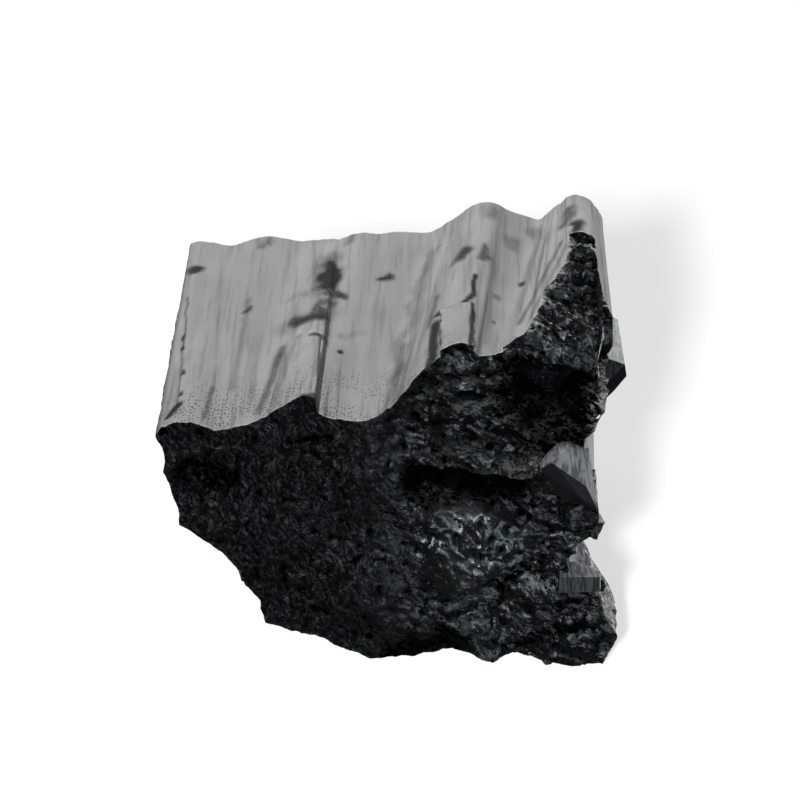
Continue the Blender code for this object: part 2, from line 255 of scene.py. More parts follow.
# %% [markdown]
# ## The bar
#
# Before it broke, the crystal was a long ribbed bar. Extruding one outline would do for a
# machined bar, but here the ribs taper and wander, so the outline has a place for each named
# rib and trough at the front and another at the back, and every ring of the mesh is a mix of
# the two. A flat grid gives the faces, and is then rolled up into the rings.

# %% The bar's outline
# Clockwise seen from the front, starting at the left arris: (x, z) at the front, (x, z) at the
# back, what the stretch that follows is, and how sharp the corner itself is, from 0 to 1.
OUTLINE = {
    "left arris": ((-26.6, 26.2), (-26.8, 26.3), GROWN, 0.6),
    "rib 1 left": ((-24.4, 27.4), (-25.7, 26.9), GROWN, 0.0),
    "rib 1 right": ((-22.9, 27.3), (-24.6, 26.7), GROWN, 0.0),
    "trough 1": ((-19.4, 26.4), (-21.7, 26.0), GROWN, 0.0),
    "rib 2": ((-17.4, 26.7), (-17.0, 27.9), GROWN, 0.3),
    "trough 2": ((-16.2, 27.0), (-13.2, 26.8), GROWN, 0.0),
    "wedge rib": ((-10.4, 30.1), (-9.6, 27.5), GROWN, 0.8),
    "wedge rib edge": ((-9.1, 29.7), (-8.9, 27.4), GROWN, 1.0),
    "wedge rib foot": ((-8.7, 28.4), (-8.5, 27.3), GROWN, 1.0),
    "rib 3": ((-7.2, 27.9), (-6.1, 28.4), GROWN, 0.0),
    "trough 3": ((-5.2, 27.6), (-3.6, 28.0), GROWN, 0.0),
    "rib 4": ((-3.9, 27.7), (-1.8, 28.5), GROWN, 0.0),
    "slope foot": ((-2.3, 28.0), (2.5, 28.2), GROWN, 0.0),
    "slope head": ((2.5, 31.9), (6.6, 31.6), GROWN, 0.4),
    "middle rib left": ((4.1, 32.7), (7.6, 32.4), GROWN, 0.2),
    "middle rib": ((5.9, 33.3), (9.0, 33.0), GROWN, 0.2),
    "middle rib right": ((7.6, 32.7), (10.8, 32.5), GROWN, 0.9),
    "middle rib foot": ((7.9, 32.2), (11.2, 32.1), GROWN, 0.8),
    "trough 4": ((9.0, 32.2), (15.4, 30.3), GROWN, 0.0),
    "high rib left": ((18.9, 36.0), (18.7, 33.5), GROWN, 0.1),
    "high rib": ((20.2, 36.3), (19.7, 34.0), GROWN, 0.1),
    "high rib right": ((21.6, 35.6), (21.3, 33.6), GROWN, 0.1),
    "right arris": ((23.7, 32.4), (23.3, 31.0), GROWN, 0.5),
    "right wall": ((23.9, 28.6), (22.9, 27.0), GROWN, 0.5),
    "right waist": ((19.9, 25.0), (21.6, 21.0), GROWN, 0.2),
    "right bulge": ((21.6, 16.4), (22.6, 15.0), BROKEN, 0.0),
    "notch top": ((20.8, 15.5), (21.5, 13.6), BROKEN, 0.0),
    "notch floor": ((20.0, 11.6), (21.0, 11.2), BROKEN, 0.0),
    "low ledge": ((21.4, 8.4), (21.8, 8.0), BROKEN, 0.0),
    "foot bulge": ((23.0, 5.6), (22.6, 5.0), BROKEN, 0.0),
    "foot": ((24.2, 3.6), (22.0, 2.4), BROKEN, 0.0),
    "heel": ((23.0, 0.5), (20.0, 0.1), BROKEN, 0.0),
    "underside 1": ((19.2, -0.5), (17.0, -0.5), BROKEN, 0.0),
    "underside 2": ((13.6, 1.2), (12.5, 0.8), BROKEN, 0.0),
    "underside 3": ((10.5, 0.2), (9.0, -0.5), BROKEN, 0.0),
    "underside 4": ((7.8, 0.9), (5.5, 0.9), BROKEN, 0.0),
    "underside 5": ((1.9, -0.6), (0.0, -0.6), BROKEN, 0.0),
    "underside 6": ((-3.7, 1.2), (-5.0, -0.6), BROKEN, 0.0),
    "underside 7": ((-8.5, 3.0), (-9.5, -0.5), BROKEN, 0.0),
    "underside 8": ((-12.6, 3.6), (-13.0, 0.3), BROKEN, 0.0),
    "left foot": ((-14.6, 4.6), (-15.0, 2.0), BROKEN, 0.0),
    "left flank 1": ((-15.4, 7.0), (-16.6, 5.4), BROKEN, 0.0),
    "left flank 2": ((-18.8, 11.2), (-19.2, 10.2), BROKEN, 0.0),
    "left flank 3": ((-21.3, 13.5), (-22.0, 13.0), BROKEN, 0.0),
    "left flank 4": ((-23.8, 15.7), (-24.2, 17.0), BROKEN, 0.0),
    "left flank 5": ((-25.6, 21.1), (-25.7, 21.5), BROKEN, 0.0),
}
ROUNDING_PASSES = 9  # how often the sampled outline is averaged with its neighbours


def outline_at(share):
    """Rows of x, z, run, kind around the bar, at a share of the way from front to back.

    run is the distance along the outline, the same on every ring, so that striations can
    follow the ribs.
    """
    lines = list(OUTLINE.values())
    rows = []
    run = 0.0
    for here, after in zip(lines, lines[1:] + lines[:1]):
        spacing = GROWN_STEP if here[2] == GROWN else ROUGH_STEP
        length = math.dist(here[0], after[0])
        pieces = max(1, round(length / spacing))
        start = Vector(here[0]).lerp(Vector(here[1]), share)
        end = Vector(after[0]).lerp(Vector(after[1]), share)
        for k in range(pieces):
            x, z = start.lerp(end, k / pieces)
            sharp = here[3] if k == 0 else 0.0
            rows.append((x, z, run + length * k / pieces, here[2], sharp))
        run += length
    rows = np.array(rows)
    line = rows[:, :2].copy()
    give = 0.5 * (1.0 - rows[:, 4:5]) * (rows[:, 3:4] == GROWN)
    for _ in range(ROUNDING_PASSES):
        middle = (np.roll(line, 1, axis=0) + np.roll(line, -1, axis=0)) / 2
        line += give * (middle - line)
    return np.column_stack([line, rows[:, 2:4]])


ring = outline_at(0.0)
print("points around the bar:", len(ring), " girth in mm:", round(ring[-1, 2], 1))

# %% [markdown]
# Growth faces carry striations: noise that changes quickly around the bar and hardly at all
# along it, so it draws long lines. Two low plates stand on top, where the last layers of growth
# stopped short, and their ends make small ragged steps.

# %% Relief on the growth faces
# Layers of ridges: how wide a ridge is, how far it runs, how tall it is, its pattern's number.
RIDGES = ((3.1, 30.0, 0.10, 5), (1.25, 18.0, 0.055, 6), (0.62, 11.0, 0.04, 7))
GROOVES = (1.9, 26.0, 0.10, 8)  # the same for a few sunken strips
GROOVE_LEVELS = (0.25, 0.4)  # the noise's values where a strip starts to sink, and where it has


def lined(run, y, width, reach, salt):
    """Smooth noise in lines along the bar."""
    return drift(np.column_stack([run / width, y / reach, np.zeros(len(run))]), 1.0, salt)


def striations(run, y):
    """How far the growth faces stand out: fine ridges that run along the bar."""
    height = np.zeros(len(run))
    for width, reach, tall, salt in RIDGES:
        height += tall * lined(run, y, width, reach, salt)
    width, reach, deep, salt = GROOVES
    return height - deep * step(lined(run, y, width, reach, salt), *GROOVE_LEVELS)


# Plates that stand a little above the ribs: x at the left and at the right of the front end,
# the same at the back end, y at both ends, how high the plate stands, and how wide its left
# slope is.
TOP_PLATES = (
    ((-15.6, -8.9), (-13.0, -9.3), (-2.0, 16.0), 0.4, 2.0),
    ((4.1, 8.0), (4.2, 7.7), (2.0, 15.3), 0.7, 0.3),
)
RAGGED_SIZE = 0.8  # how long the small bends in a plate's edges are
RAGGED_LEFT, RAGGED_BACK = 0.25, 0.5  # how far those bends move its left edge and its back end
RIGHT_SLOPE = 0.35  # how wide its right slope is
BACK_SLANT = 0.35  # how much shorter the plate is for each mm to the right
BACK_RISER = 0.3  # half the width of the slope at its back end


def raised(points):
    """How far the plates on the top lift each point."""
    height = np.zeros(len(points))
    x, y = points[:, 0], points[:, 1]
    ragged = drift(points, RAGGED_SIZE, 61)
    for front, back, ends, tall, slope in TOP_PLATES:
        share = np.clip((y - ends[0]) / (ends[1] - ends[0]), 0.0, 1.0)
        left = front[0] + share * (back[0] - front[0]) + RAGGED_LEFT * ragged
        right = front[1] + share * (back[1] - front[1])
        inside = step(x, left, left + slope) * (1.0 - step(x, right - RIGHT_SLOPE, right))
        end = ends[1] - BACK_SLANT * (x - left) + RAGGED_BACK * ragged
        height += tall * inside * (1.0 - step(y, end - BACK_RISER, end + BACK_RISER))
    return height


# %% [markdown]
# Broken faces get scallops, cut in towards the middle of the bar. They fade beside the left
# arris, so that the edge of the top stays straight.

# %% The rings of the bar
# Layers of scallops: how tall, how wide, the pattern's number, and the level that stays in place.
BAR_RELIEF = ((1.4, 7.0, 11, 0.45), (0.7, 3.2, 23, 0.45), (0.35, 1.7, 29, 0.45))
AXIS_HEIGHT = 17.0  # z of the line that broken faces are cut in towards
ARRIS_BAND = 6.0  # how far from the left arris the scallops are at full depth
ARRIS_CALM = 0.8  # the share of their depth that they lose at the arris
ARRIS_FULLNESS = 0.5  # how far the stone stands out just below the arris
FULLNESS_WITHIN = 1.5  # how far below the arris it stands out fully


def outward(line):
    """Unit normals of a closed line of x, z points that runs clockwise."""
    tangent = np.roll(line, -1, axis=0) - np.roll(line, 1, axis=0)
    normal = np.column_stack([-tangent[:, 1], tangent[:, 0]])
    return normal / np.maximum(np.linalg.norm(normal, axis=1, keepdims=True), 1e-9)


def bar_ring(y):
    """The points of one ring of the bar, with its relief."""
    x, z, run, kind = outline_at(min(max(y / BAR_LENGTH, 0.0), 1.0)).T
    points = np.column_stack([x, np.full(len(x), y), z])
    normal = outward(np.column_stack([x, z]))
    lift = (striations(run, points[:, 1]) + raised(points)) * (kind == GROWN)
    points += np.column_stack([normal[:, 0], np.zeros(len(x)), normal[:, 1]]) * lift[:, None]
    inward = (np.array([0.0, 0.0, AXIS_HEIGHT]) - points) * np.array([1.0, 0.0, 1.0])
    inward /= np.linalg.norm(inward, axis=1, keepdims=True)
    to_arris = ring[-1, 2] - run
    near_arris = 1.0 - step(to_arris, 0.0, ARRIS_BAND)
    depth = relief(points, BAR_RELIEF) * (1.0 - ARRIS_CALM * near_arris)
    depth = depth - ARRIS_FULLNESS * near_arris * step(to_arris, 0.0, FULLNESS_WITHIN)
    return points - inward * (kind * depth)[:, None]


middle_ring = bar_ring(BAR_LENGTH / 2)
print("height halfway along, in mm:", round(float(np.ptp(middle_ring[:, 2])), 1))

# %% [markdown]
# A grid of faces is rolled up into the rings: each of its columns is one place on the outline,
# and each of its rows is one ring. The seam is merged, and the two open ends are filled.

# %% Rolling up the bar
KINDS = ("grown", "broken", "facet")  # the materials, in the order of their slots


def finished(name, bm):
    """An object made from the bmesh, in triangles, with a slot for each kind of surface."""
    bmesh.ops.triangulate(bm, faces=bm.faces)
    mesh = bpy.data.meshes.new(name)
    bm.to_mesh(mesh)
    bm.free()
    for kind in KINDS:
        mesh.materials.append(bpy.data.materials.get(kind) or bpy.data.materials.new(kind))
    made = bpy.data.objects.new(name, mesh)
    bpy.context.scene.collection.objects.link(made)
    return made


def make_bar():
    """The whole prism before it broke: a grid rolled up into rings and closed at both ends."""
    around = len(ring)
    length = FRONT_OVERRUN + BAR_LENGTH + BACK_OVERRUN
    along = round(length / ALONG_STEP)
    bm = bmesh.new()
    bmesh.ops.create_grid(bm, x_segments=around, y_segments=along, size=0.5)
    rows = {}
    for vert in bm.verts:
        rows.setdefault(round((vert.co.y + 0.5) * along), []).append(vert)
    for row, verts in rows.items():
        points = bar_ring(-FRONT_OVERRUN + length * row / along)
        for vert in verts:
            vert.co = placed(points[round((vert.co.x + 0.5) * around) % around])
    for face in bm.faces:
        column = min(vert.index % (around + 1) for vert in face.verts)
        face.material_index = int(ring[column % around, 3])
    bmesh.ops.remove_doubles(bm, verts=bm.verts, dist=1e-7)
    bmesh.ops.holes_fill(bm, edges=[e for e in bm.edges if e.is_boundary])
    bmesh.ops.recalc_face_normals(bm, faces=bm.faces)
    return finished("tourmaline_bar", bm)


bar = make_bar()
print("bar faces:", len(bar.data.polygons))

# %% [markdown]
# ## The breaks
#
# Each break is a sheet with relief, drawn out into a thick block of waste that is then cut away
# from the bar. Sculpting the bar itself would smear the edge between top and break. Here the two
# surfaces stay separate until they are cut. The front break leans back under its square top
# edge, with ledges over a gully and a hollow, a dome in the middle and a flat facet at the foot.

# %% The front break's forms
# Ledges: one end and the other as (x, z), and how far the stone below is cut in.
FRONT_LEDGES = {
    "over the hollow": ((12.6, 30.6), (18.6, 30.2), 3.4),
    "over the gully": ((1.5, 22.6), (14.5, 21.2), 3.4),
    "shoulder": ((4.5, 28.2), (14.0, 24.6), 1.2),
    "under the dome": ((5.0, 8.2), (16.0, 12.4), 1.2),
}
# Swells: centre and radii as (x, z), and how far the stone stands forward, or back if negative.
FRONT_SWELLS = {
    "dome": ((8.2, 13.8), (7.2, 6.4), 1.5),
    "lower left": ((-4.0, 9.0), (7.0, 6.0), 1.2),
    "left dent": ((-21.0, 19.5), (4.5, 4.5), -1.4),
    "hollow": ((16.2, 28.4), (4.0, 3.2), -3.2),
}
UPPER_RIGHT_SETBACK = ((-2.4, 2.5, 6.0, 10.7, 13.3, 17.0), (0.0, 3.3, 4.3, 5.6, 7.0, 7.6))  # x, depth
SETBACK_HEIGHTS = (21.0, 33.5)  # the setback grows between these heights
TERRACES = 5  # in this many ledges
TERRACE_RISE = 0.12  # how far the ledges rise for each mm to the right
TERRACE_SHIFT = 1.2  # how much lower they all lie at x = 0 than the heights above say
TERRACE_FRONT = 0.25  # the share of a ledge that its steep front takes up
BOTTOM_FACET = ((-3.5, -0.3, 5.0, 8.2, 9.5), (0.0, 2.9, 5.3, 2.4, 0.0))  # x, and z of its top edge
BOTTOM_FACET_SLOPE = 0.28  # how far it draws back for each mm down
FACET_CALM = 0.7  # the share of the fine relief that it lacks


def terraced(x, z):
    """The share of the setback at each point: flat ledges with steep fronts, rising to the right."""
    climb = step(z - TERRACE_RISE * x + TERRACE_SHIFT, *SETBACK_HEIGHTS) * TERRACES
    level = np.floor(climb)
    return (level + step(climb - level, 0.0, TERRACE_FRONT)) / TERRACES


def domed(x, z):
    """1 at the middle of the dome, and 0 from its rim on."""
    centre, radii, _ = FRONT_SWELLS["dome"]
    return mound(x, z, centre, radii)


rise = terraced(np.zeros(4), np.array([20.0, 25.0, 30.0, 35.0]))
print("share of the setback at 20, 25, 30 and 35 mm:", rise.round(2).tolist())

# %% [markdown]
# The front's relief changes from place to place: calm at the left, long flakes past the middle,
# and flat plates on the dome. So the height of each layer is a sum of how much of it there is
# everywhere and how much more, or less, there is where the flakes flow and on the dome.

# %% The front break's relief
FRONT_RELIEF = ((-1.3, 6.5, 3, 0.5), (-0.5, 3.0, 41, 0.5))
# Flakes: height everywhere, more of it where they flow, length, width, the pattern's number.
# On the dome the first height is taken off again.
FRONT_FLAKES = ((0.25, 0.85, 4.4, 1.4, 321), (0.1, 0.26, 1.8, 0.62, 331))
FLOWING_HEIGHTS = (9.0, 16.0)  # z from where the flakes start to flow, to where they all do
BROAD_PLATES = (0.9, 5.4, 3.0, 341)  # height, length, width, the pattern's number
DOME_PLATES = (0.16, 0.7, 1.7, 1.2, 351)  # height everywhere, more of it on the dome, and so on
LEFT_LIVELY = 0.5  # the strength of the relief at the left, as a share
LIVELY_BETWEEN = (-9.0, 4.0)  # x where it starts to grow, and where it is full
FRONT_BEND = (6.0, 0.9, 301)  # how ledges and terraces wander: size, amount, the pattern's number
SHARD_BEND = (5.0, 1.1, 311)  # the same for flakes and plates
PITTED = ((-20.6, 21.6), (4.6, 3.4), 0.9)  # centre, radii and depth of the pits at the left
PIT_SIZE, PIT_SHARE = 1.5, 0.5  # size and height of the noise that parts them
PIT_LEVELS = (0.25, 0.5)  # the sums at which a pit starts, and is at full depth


def lively(x):
    """How strong the relief is: weaker on the left of the front."""
    return LEFT_LIVELY + (1.0 - LEFT_LIVELY) * step(x, *LIVELY_BETWEEN)


def shards(x, z):
    """Long flakes and small flat plates. They are deepest past the middle and flat on the dome."""
    at = warped(np.column_stack([x, np.zeros(len(x)), z]), *SHARD_BEND)
    flowing = step(x, *GRAIN_TURNS_AT) * step(z, *FLOWING_HEIGHTS)
    height = np.zeros(len(x))
    for tall, more, length, width, salt in FRONT_FLAKES:
        height += (tall + more * flowing - tall * domed(x, z)) * flakes(at, length, width, salt)
    tall, length, width, salt = BROAD_PLATES
    height += tall * plates(along_grain(at, GRAIN_RIGHT, length, width), 1.0, salt)
    height *= lively(x)
    tall, more, length, width, salt = DOME_PLATES
    small = plates(along_grain(at, GRAIN_LEFT, length, width), 1.0, salt)
    return height + (tall + more * domed(x, z)) * small


def front_break(x, z):
    """y of the front break, which leans back and draws back further at its upper right."""
    at = np.column_stack([x, np.zeros(len(x)), z])
    bent = warped(at, *FRONT_BEND)
    below_edge = np.maximum(np.interp(x, *BOTTOM_FACET) - z, 0.0)
    y = (z - TOP_HEIGHT) * math.tan(FRONT_LEAN)
    y += np.interp(x, *UPPER_RIGHT_SETBACK) * terraced(bent[:, 0], bent[:, 2])
    y += BOTTOM_FACET_SLOPE * below_edge
    for start, end, drop in FRONT_LEDGES.values():
        y += ledge(bent[:, 0], bent[:, 2], start, end, drop)
    for centre, radii, forward in FRONT_SWELLS.values():
        y -= forward * mound(x, z, centre, radii)
    centre, radii, deep = PITTED
    pits = mound(x, z, centre, radii) + PIT_SHARE * drift(bent, PIT_SIZE, 302)
    y += deep * step(pits, *PIT_LEVELS)
    y += relief(at, FRONT_RELIEF) * lively(x)
    return y + shards(x, z) * (1.0 - FACET_CALM * step(below_edge, 0.0, 1.0))


middle = front_break(np.zeros(3), np.array([5.0, 15.0, 25.0]))
print("y of the front break at 5, 15 and 25 mm up:", middle.round(1).tolist())

# %% [markdown]
# The back and the low right side can be plainer sheets, because they are worn breaks: a few
# large shells with smaller ones on them.

# %% The back break and the low break at the right
BACK_RELIEF = ((-1.6, 7.5, 67, 0.3), (-0.5, 3.2, 71, 0.3))
BACK_OFFSET = 0.2  # how far past the end of the top the back break starts
BACK_SLOPE = 0.16  # below the square top edge, the back break comes forward by this much per mm
BACK_SLOPE_TOP = 28.0  # z that the slope is measured from
BACK_SLOPE_FADE = (15.0, 27.0)  # the slope is full below the first height and gone above the second
BACK_SWELL = ((-3.0, 13.0), (19.0, 11.0), 3.2)  # centre, radii and depth of the large hollow
BACK_EDGE, BACK_EDGE_CALM = (24.0, 27.0), 0.75  # above here the relief loses this share
RIGHT_RELIEF = ((-1.4, 6.0, 91, 0.3), (-0.4, 2.8, 97, 0.3))
RIGHT_PATTERN_X = 20.0  # x of the slice of the noise that the low break shows
RIGHT_WALL = 19.0  # x of the low break behind the foot
FOOT_REACH = 6.0  # how much further out the foot stands
FOOT_ENDS = (-1.5, 4.0)  # y where the foot starts to fall back, and where it has
UNDERCUT = 1.4  # how far the low break is cut in at the floor
UNDERCUT_HEIGHT = 6.0


def back_break(x, z):
    """y of the back break, with its top edge square and a shallow shell-shaped hollow below."""
    centre, radii, deep = BACK_SWELL
    y = BAR_LENGTH + BACK_OFFSET
    y -= BACK_SLOPE * (BACK_SLOPE_TOP - z) * (1.0 - step(z, *BACK_SLOPE_FADE))
    y -= deep * mound(x, z, centre, radii)
    points = np.column_stack([x, np.full(len(x), BAR_LENGTH), z])
    fading = 1.0 - BACK_EDGE_CALM * step(z, *BACK_EDGE)
    return y + fading * relief(points, BACK_RELIEF)


def right_break(y, z):
    """x of the low break on the right. It leaves a foot at the front and is cut in behind it."""
    x = RIGHT_WALL + FOOT_REACH * (1.0 - step(y, *FOOT_ENDS))
    x -= UNDERCUT * (1.0 - step(z, 0.0, UNDERCUT_HEIGHT))
    points = np.column_stack([np.full(len(y), RIGHT_PATTERN_X), y, z])
    return x + relief(points, RIGHT_RELIEF)


samples = np.array([5.0, 15.0, 25.0])
behind = back_break(np.zeros(3), samples)
print("y of the back break at 5, 15 and 25 mm up:", behind.round(1).tolist())

# %% [markdown]
# The slanting break comes down from the high rib in steps along the bar, as torn fibres of wood
# would. Saw-tooth treads of three lengths give the steps, and plates and shells roughen them. A
# narrow strip of the top is left standing along its right side.

# %% The slanting break
# Where the slanting break meets the ribbed top, from front to back: y, x, z.
HIGH_EDGE = np.array(
    [
        (2.0, 6.0, 31.8), (5.9, 9.0, 31.9), (7.6, 10.7, 32.0), (8.5, 12.1, 32.5), (9.5, 13.3, 32.9),
        (11.8, 14.5, 33.2), (14.9, 15.1, 33.2), (17.9, 15.9, 33.3), (20.1, 17.1, 33.7),
        (23.5, 18.2, 34.1), (26.5, 18.9, 34.0), (30.0, 19.9, 33.8), (31.5, 22.5, 33.0),
        (33.5, 26.0, 31.6),
    ]
).T
HIGH_FALL = 0.34  # how steeply the slanting break falls from that edge to the right
EDGE_WITHIN = 1.2  # the steps grow to their full height over this distance from the edge
STRIP_AT = 21.9  # x of the narrow strip that is left standing
STRIP_HEIGHT = 2.4
STRIP_SLOPE = 0.3  # half the width of the strip's side
STRIP_CALM = 0.85  # the share of the steps that the strip lacks
HIGH_BEND = (3.0, 1.5, 341)  # how the steps wander: size, amount, the pattern's number
TREADS = ((4.2, 1.8), (1.5, 1.0), (0.62, 0.42))  # steps along the bar, each: length, height
TREAD_SLANT = 0.25  # how much sooner a step comes for each mm to the right
TREAD_RISER = 0.25  # the share of a tread that its steep end takes up
TREAD_LEVEL = 0.35  # the height within a tread that stays in place, as a share
HIGH_RELIEF = ((0.5, 3.6, 83, 0.4),)
HIGH_PATTERN = (1.6, 33.0)  # how much that relief is squeezed along y, and the z it is read at
# Plates and shells on the steps: height, how they are squeezed along x, y and z, cell size, number.
HIGH_PLATES = (0.8, (0.32, 1.0, 1.0), 1.0, 371)
HIGH_SHELLS = (0.4, (0.35, 1.7, 1.0), 1.1, 361)
HIGH_LEVEL = 0.4  # the height within both that stays in place, as a share


def high_break(x, y):
    """z of the slanting break that takes the front off the high rib, in steps along the bar."""
    edge_y, edge_x, edge_z = HIGH_EDGE
    past_edge = x - np.interp(y, edge_y, edge_x)
    strip = step(x, STRIP_AT - STRIP_SLOPE, STRIP_AT + STRIP_SLOPE)
    z = np.interp(y, edge_y, edge_z) - HIGH_FALL * past_edge + STRIP_HEIGHT * strip
    inside = step(past_edge, 0.0, EDGE_WITHIN) * (1.0 - STRIP_CALM * strip)
    bent = warped(np.column_stack([x, y, np.zeros(len(x))]), *HIGH_BEND)
    for length, tall in TREADS:
        tread = (bent[:, 1] + TREAD_SLANT * bent[:, 0]) / length
        share = tread - np.floor(tread)
        z += inside * tall * (step(share, 0.0, TREAD_RISER) - share - TREAD_LEVEL)
    squeeze, level = HIGH_PATTERN
    z += relief(np.column_stack([x, squeeze * y, np.full(len(x), level)]), HIGH_RELIEF)
    for pattern, (tall, squeezed, size, salt) in ((plates, HIGH_PLATES), (scallops, HIGH_SHELLS)):
        z += tall * inside * (pattern(bent * squeezed, size, salt) - HIGH_LEVEL)
    return z


slant = high_break(np.full(3, 19.0), np.array([5.0, 15.0, 25.0]))
print("z of the slanting break at three places along it:", slant.round(1).tolist())

# %% [markdown]
# Each sheet becomes a block of waste: a grid in the sheet's shape, with its face region extruded
# and the copy pushed flat, well outside the bar.

# %% Blocks of waste


def waste_block(name, axis, low, high, cell, surface, outer):
    """The stone beyond a break: a grid shaped by surface(a, b), extruded along axis to outer.

    The grid spans the other two axes from low to high, and the surface gives the place on axis.
    """
    bm = bmesh.new()
    counts = [round((end - start) / cell) for start, end in zip(low, high)]
    bmesh.ops.create_grid(bm, x_segments=counts[0], y_segments=counts[1], size=0.5)
    share = np.array([vert.co[:2] for vert in bm.verts]) + 0.5
    a, b = (np.array(low) + share * (np.array(high) - np.array(low))).T
    points = np.insert(np.column_stack([a, b]), axis, surface(a, b), axis=1)
    for vert, point in zip(bm.verts, points):
        vert.co = placed(point)
    drawn = bmesh.ops.extrude_face_region(bm, geom=bm.faces[:])["geom"]
    for vert in drawn:
        if isinstance(vert, bmesh.types.BMVert):
            vert.co[axis] = (outer - ORIGIN[axis]) * MM
    for face in bm.faces:
        face.material_index = BROKEN
    bmesh.ops.recalc_face_normals(bm, faces=bm.faces)
    return finished(name, bm)


wastes = [
    waste_block("front_waste", 1, (-30.0, -3.0), (30.0, 40.0), FRONT_CELL, front_break, -30.0),
    waste_block("back_waste", 1, (-30.0, -3.0), (30.0, 40.0), HIDDEN_CELL, back_break, 60.0),
    waste_block("right_waste", 0, (-12.0, -3.0), (44.0, 14.0), HIDDEN_CELL, right_break, 40.0),
    waste_block("high_waste", 2, (11.0, 2.0), (28.0, 29.0), HIGH_CELL, high_break, 60.0),
]
print("waste faces:", {waste.name: len(waste.data.polygons) for waste in wastes})

# %% [markdown]
# ## Chips, lumps and small crystals
#
# Small crystals on the right side have flat faces, so each is the hull of a few corners, and a
# face needs no drawing of its own. They are joined to the stone, not laid on it, because they
# grew with it.

# %% Small crystals
SMALL_CRYSTALS = {
    "back_right_lath": (
        FACET,
        [
            (20.0, 22.4, 20.6), (23.2, 22.2, 21.6), (25.6, 22.0, 20.8), (25.9, 22.4, 18.9),
            (24.6, 23.0, 16.4), (22.6, 23.4, 13.6), (19.0, 23.4, 11.0),
            (20.0, 32.0, 20.8), (23.4, 32.6, 21.4), (25.2, 32.4, 20.4), (25.4, 32.0, 18.0),
            (24.0, 31.0, 15.0), (19.0, 30.0, 11.0),
        ],
    ),
    "right_block": (
        FACET,
        [
            (15.2, -3.2, 23.7), (16.4, -3.4, 24.7), (18.1, -1.0, 24.8), (20.6, 1.0, 23.6),
            (20.2, -4.2, 22.2), (21.4, -4.2, 19.5), (20.2, -4.6, 20.4), (18.3, -4.0, 21.3),
            (21.6, -3.0, 16.6), (19.0, -2.6, 17.0), (20.8, 8.0, 17.4), (19.6, 8.0, 24.0),
            (15.0, 6.0, 20.0),
        ],
    ),
    "right_knob": (
        BROKEN,
        [
            (18.6, -4.6, 19.2), (20.6, -3.8, 20.0), (21.6, -3.4, 18.8), (21.8, -4.0, 17.6),
            (21.2, -4.4, 16.4), (20.0, -4.8, 15.6), (18.8, -5.4, 17.4), (17.6, -3.6, 16.8),
            (21.6, 4.0, 18.6), (20.0, 3.0, 15.8), (16.0, 3.0, 18.4),
        ],
    ),
    "low_lath": (
        FACET,
        [
            (17.7, -5.7, 8.7), (22.2, -5.7, 9.0), (22.3, -5.0, 9.0), (19.9, -3.0, 8.7), (17.7, -3.0, 8.7),
            (17.7, -5.8, 11.0), (22.1, -5.9, 11.2), (22.2, -5.0, 11.2), (19.9, -3.0, 11.0),
            (17.7, -3.0, 11.0),
        ],
    ),
}
CRYSTAL_CUTS = 9  # how many times each edge of a small crystal is divided


def small_crystal(name, kind, corners):
    """A flat-faced crystal: the hull of its corners, with its faces divided finely."""
    bm = bmesh.new()
    for corner in corners:
        bm.verts.new(placed(corner))
    hull = bmesh.ops.convex_hull(bm, input=bm.verts)
    bmesh.ops.delete(bm, geom=hull["geom_interior"] + hull["geom_unused"], context="VERTS")
    bmesh.ops.triangulate(bm, faces=bm.faces)
    bmesh.ops.subdivide_edges(bm, edges=bm.edges, cuts=CRYSTAL_CUTS, use_grid_fill=True)
    bmesh.ops.recalc_face_normals(bm, faces=bm.faces)
    for face in bm.faces:
        face.material_index = kind
    return finished(name, bm)


crystals = [small_crystal(name, *shape) for name, shape in SMALL_CRYSTALS.items()]
print("small crystals:", {c.name: len(c.data.polygons) for c in crystals})

# %% [markdown]
# Chips and lumps are rough balls, stretched and turned. A lump is joined on, and a chip is taken
# out, which leaves a scooped hollow.

# %% Chips and lumps
# Each: its centre, its radii, and how it is turned about x, y and z in degrees.
LUMPS = {
    "foot_lump": ((20.4, -4.6, 3.4), (3.6, 3.8, 3.8), (0, 0, 20)),
    "foot_knob": ((21.4, -2.6, 6.6), (1.8, 2.6, 1.8), (0, 0, 0)),
}
CHIPS = {
    "right_corner_chip": ((22.6, -1.2, 28.3), (4.1, 9.0, 2.6), (3, 4, 8)),
    "notch_chip": ((21.8, -3.0, 12.2), (4.6, 8.5, 3.0), (0, 0, 0)),
}
SMOOTH_CHIPS = ("notch_chip",)  # chips that ended on a flat crystal face
CHIP_CUTS = 5  # how often the ball that each is made from is subdivided
CHIP_LEVEL = 1.12  # its radius on a ridge, as a share
CHIP_RELIEF, CHIP_CELL = 0.5, 0.9  # how deep the shells on it are and how wide, on a ball of radius 1


def stone_chip(name, centre, radii, turn):
    """A rough rounded lump."""
    bm = bmesh.new()
    bmesh.ops.create_icosphere(bm, subdivisions=CHIP_CUTS, radius=1.0)
    points = np.array([vert.co for vert in bm.verts])
    shells = scallops(points + np.array(centre), CHIP_CELL, 5)
    points *= (CHIP_LEVEL - CHIP_RELIEF * shells)[:, None]
    rotation = Euler([math.radians(angle) for angle in turn]).to_matrix()
    for vert, point in zip(bm.verts, points * np.array(radii)):
        vert.co = placed(rotation @ Vector(point) + Vector(centre))
    for face in bm.faces:
        face.material_index = FACET if name in SMOOTH_CHIPS else BROKEN
    return finished(name, bm)


chips = [stone_chip(name, *shape) for name, shape in CHIPS.items()]
lumps = [stone_chip(name, *shape) for name, shape in LUMPS.items()]
print("faces of each chip and lump:", len(chips[0].data.polygons))

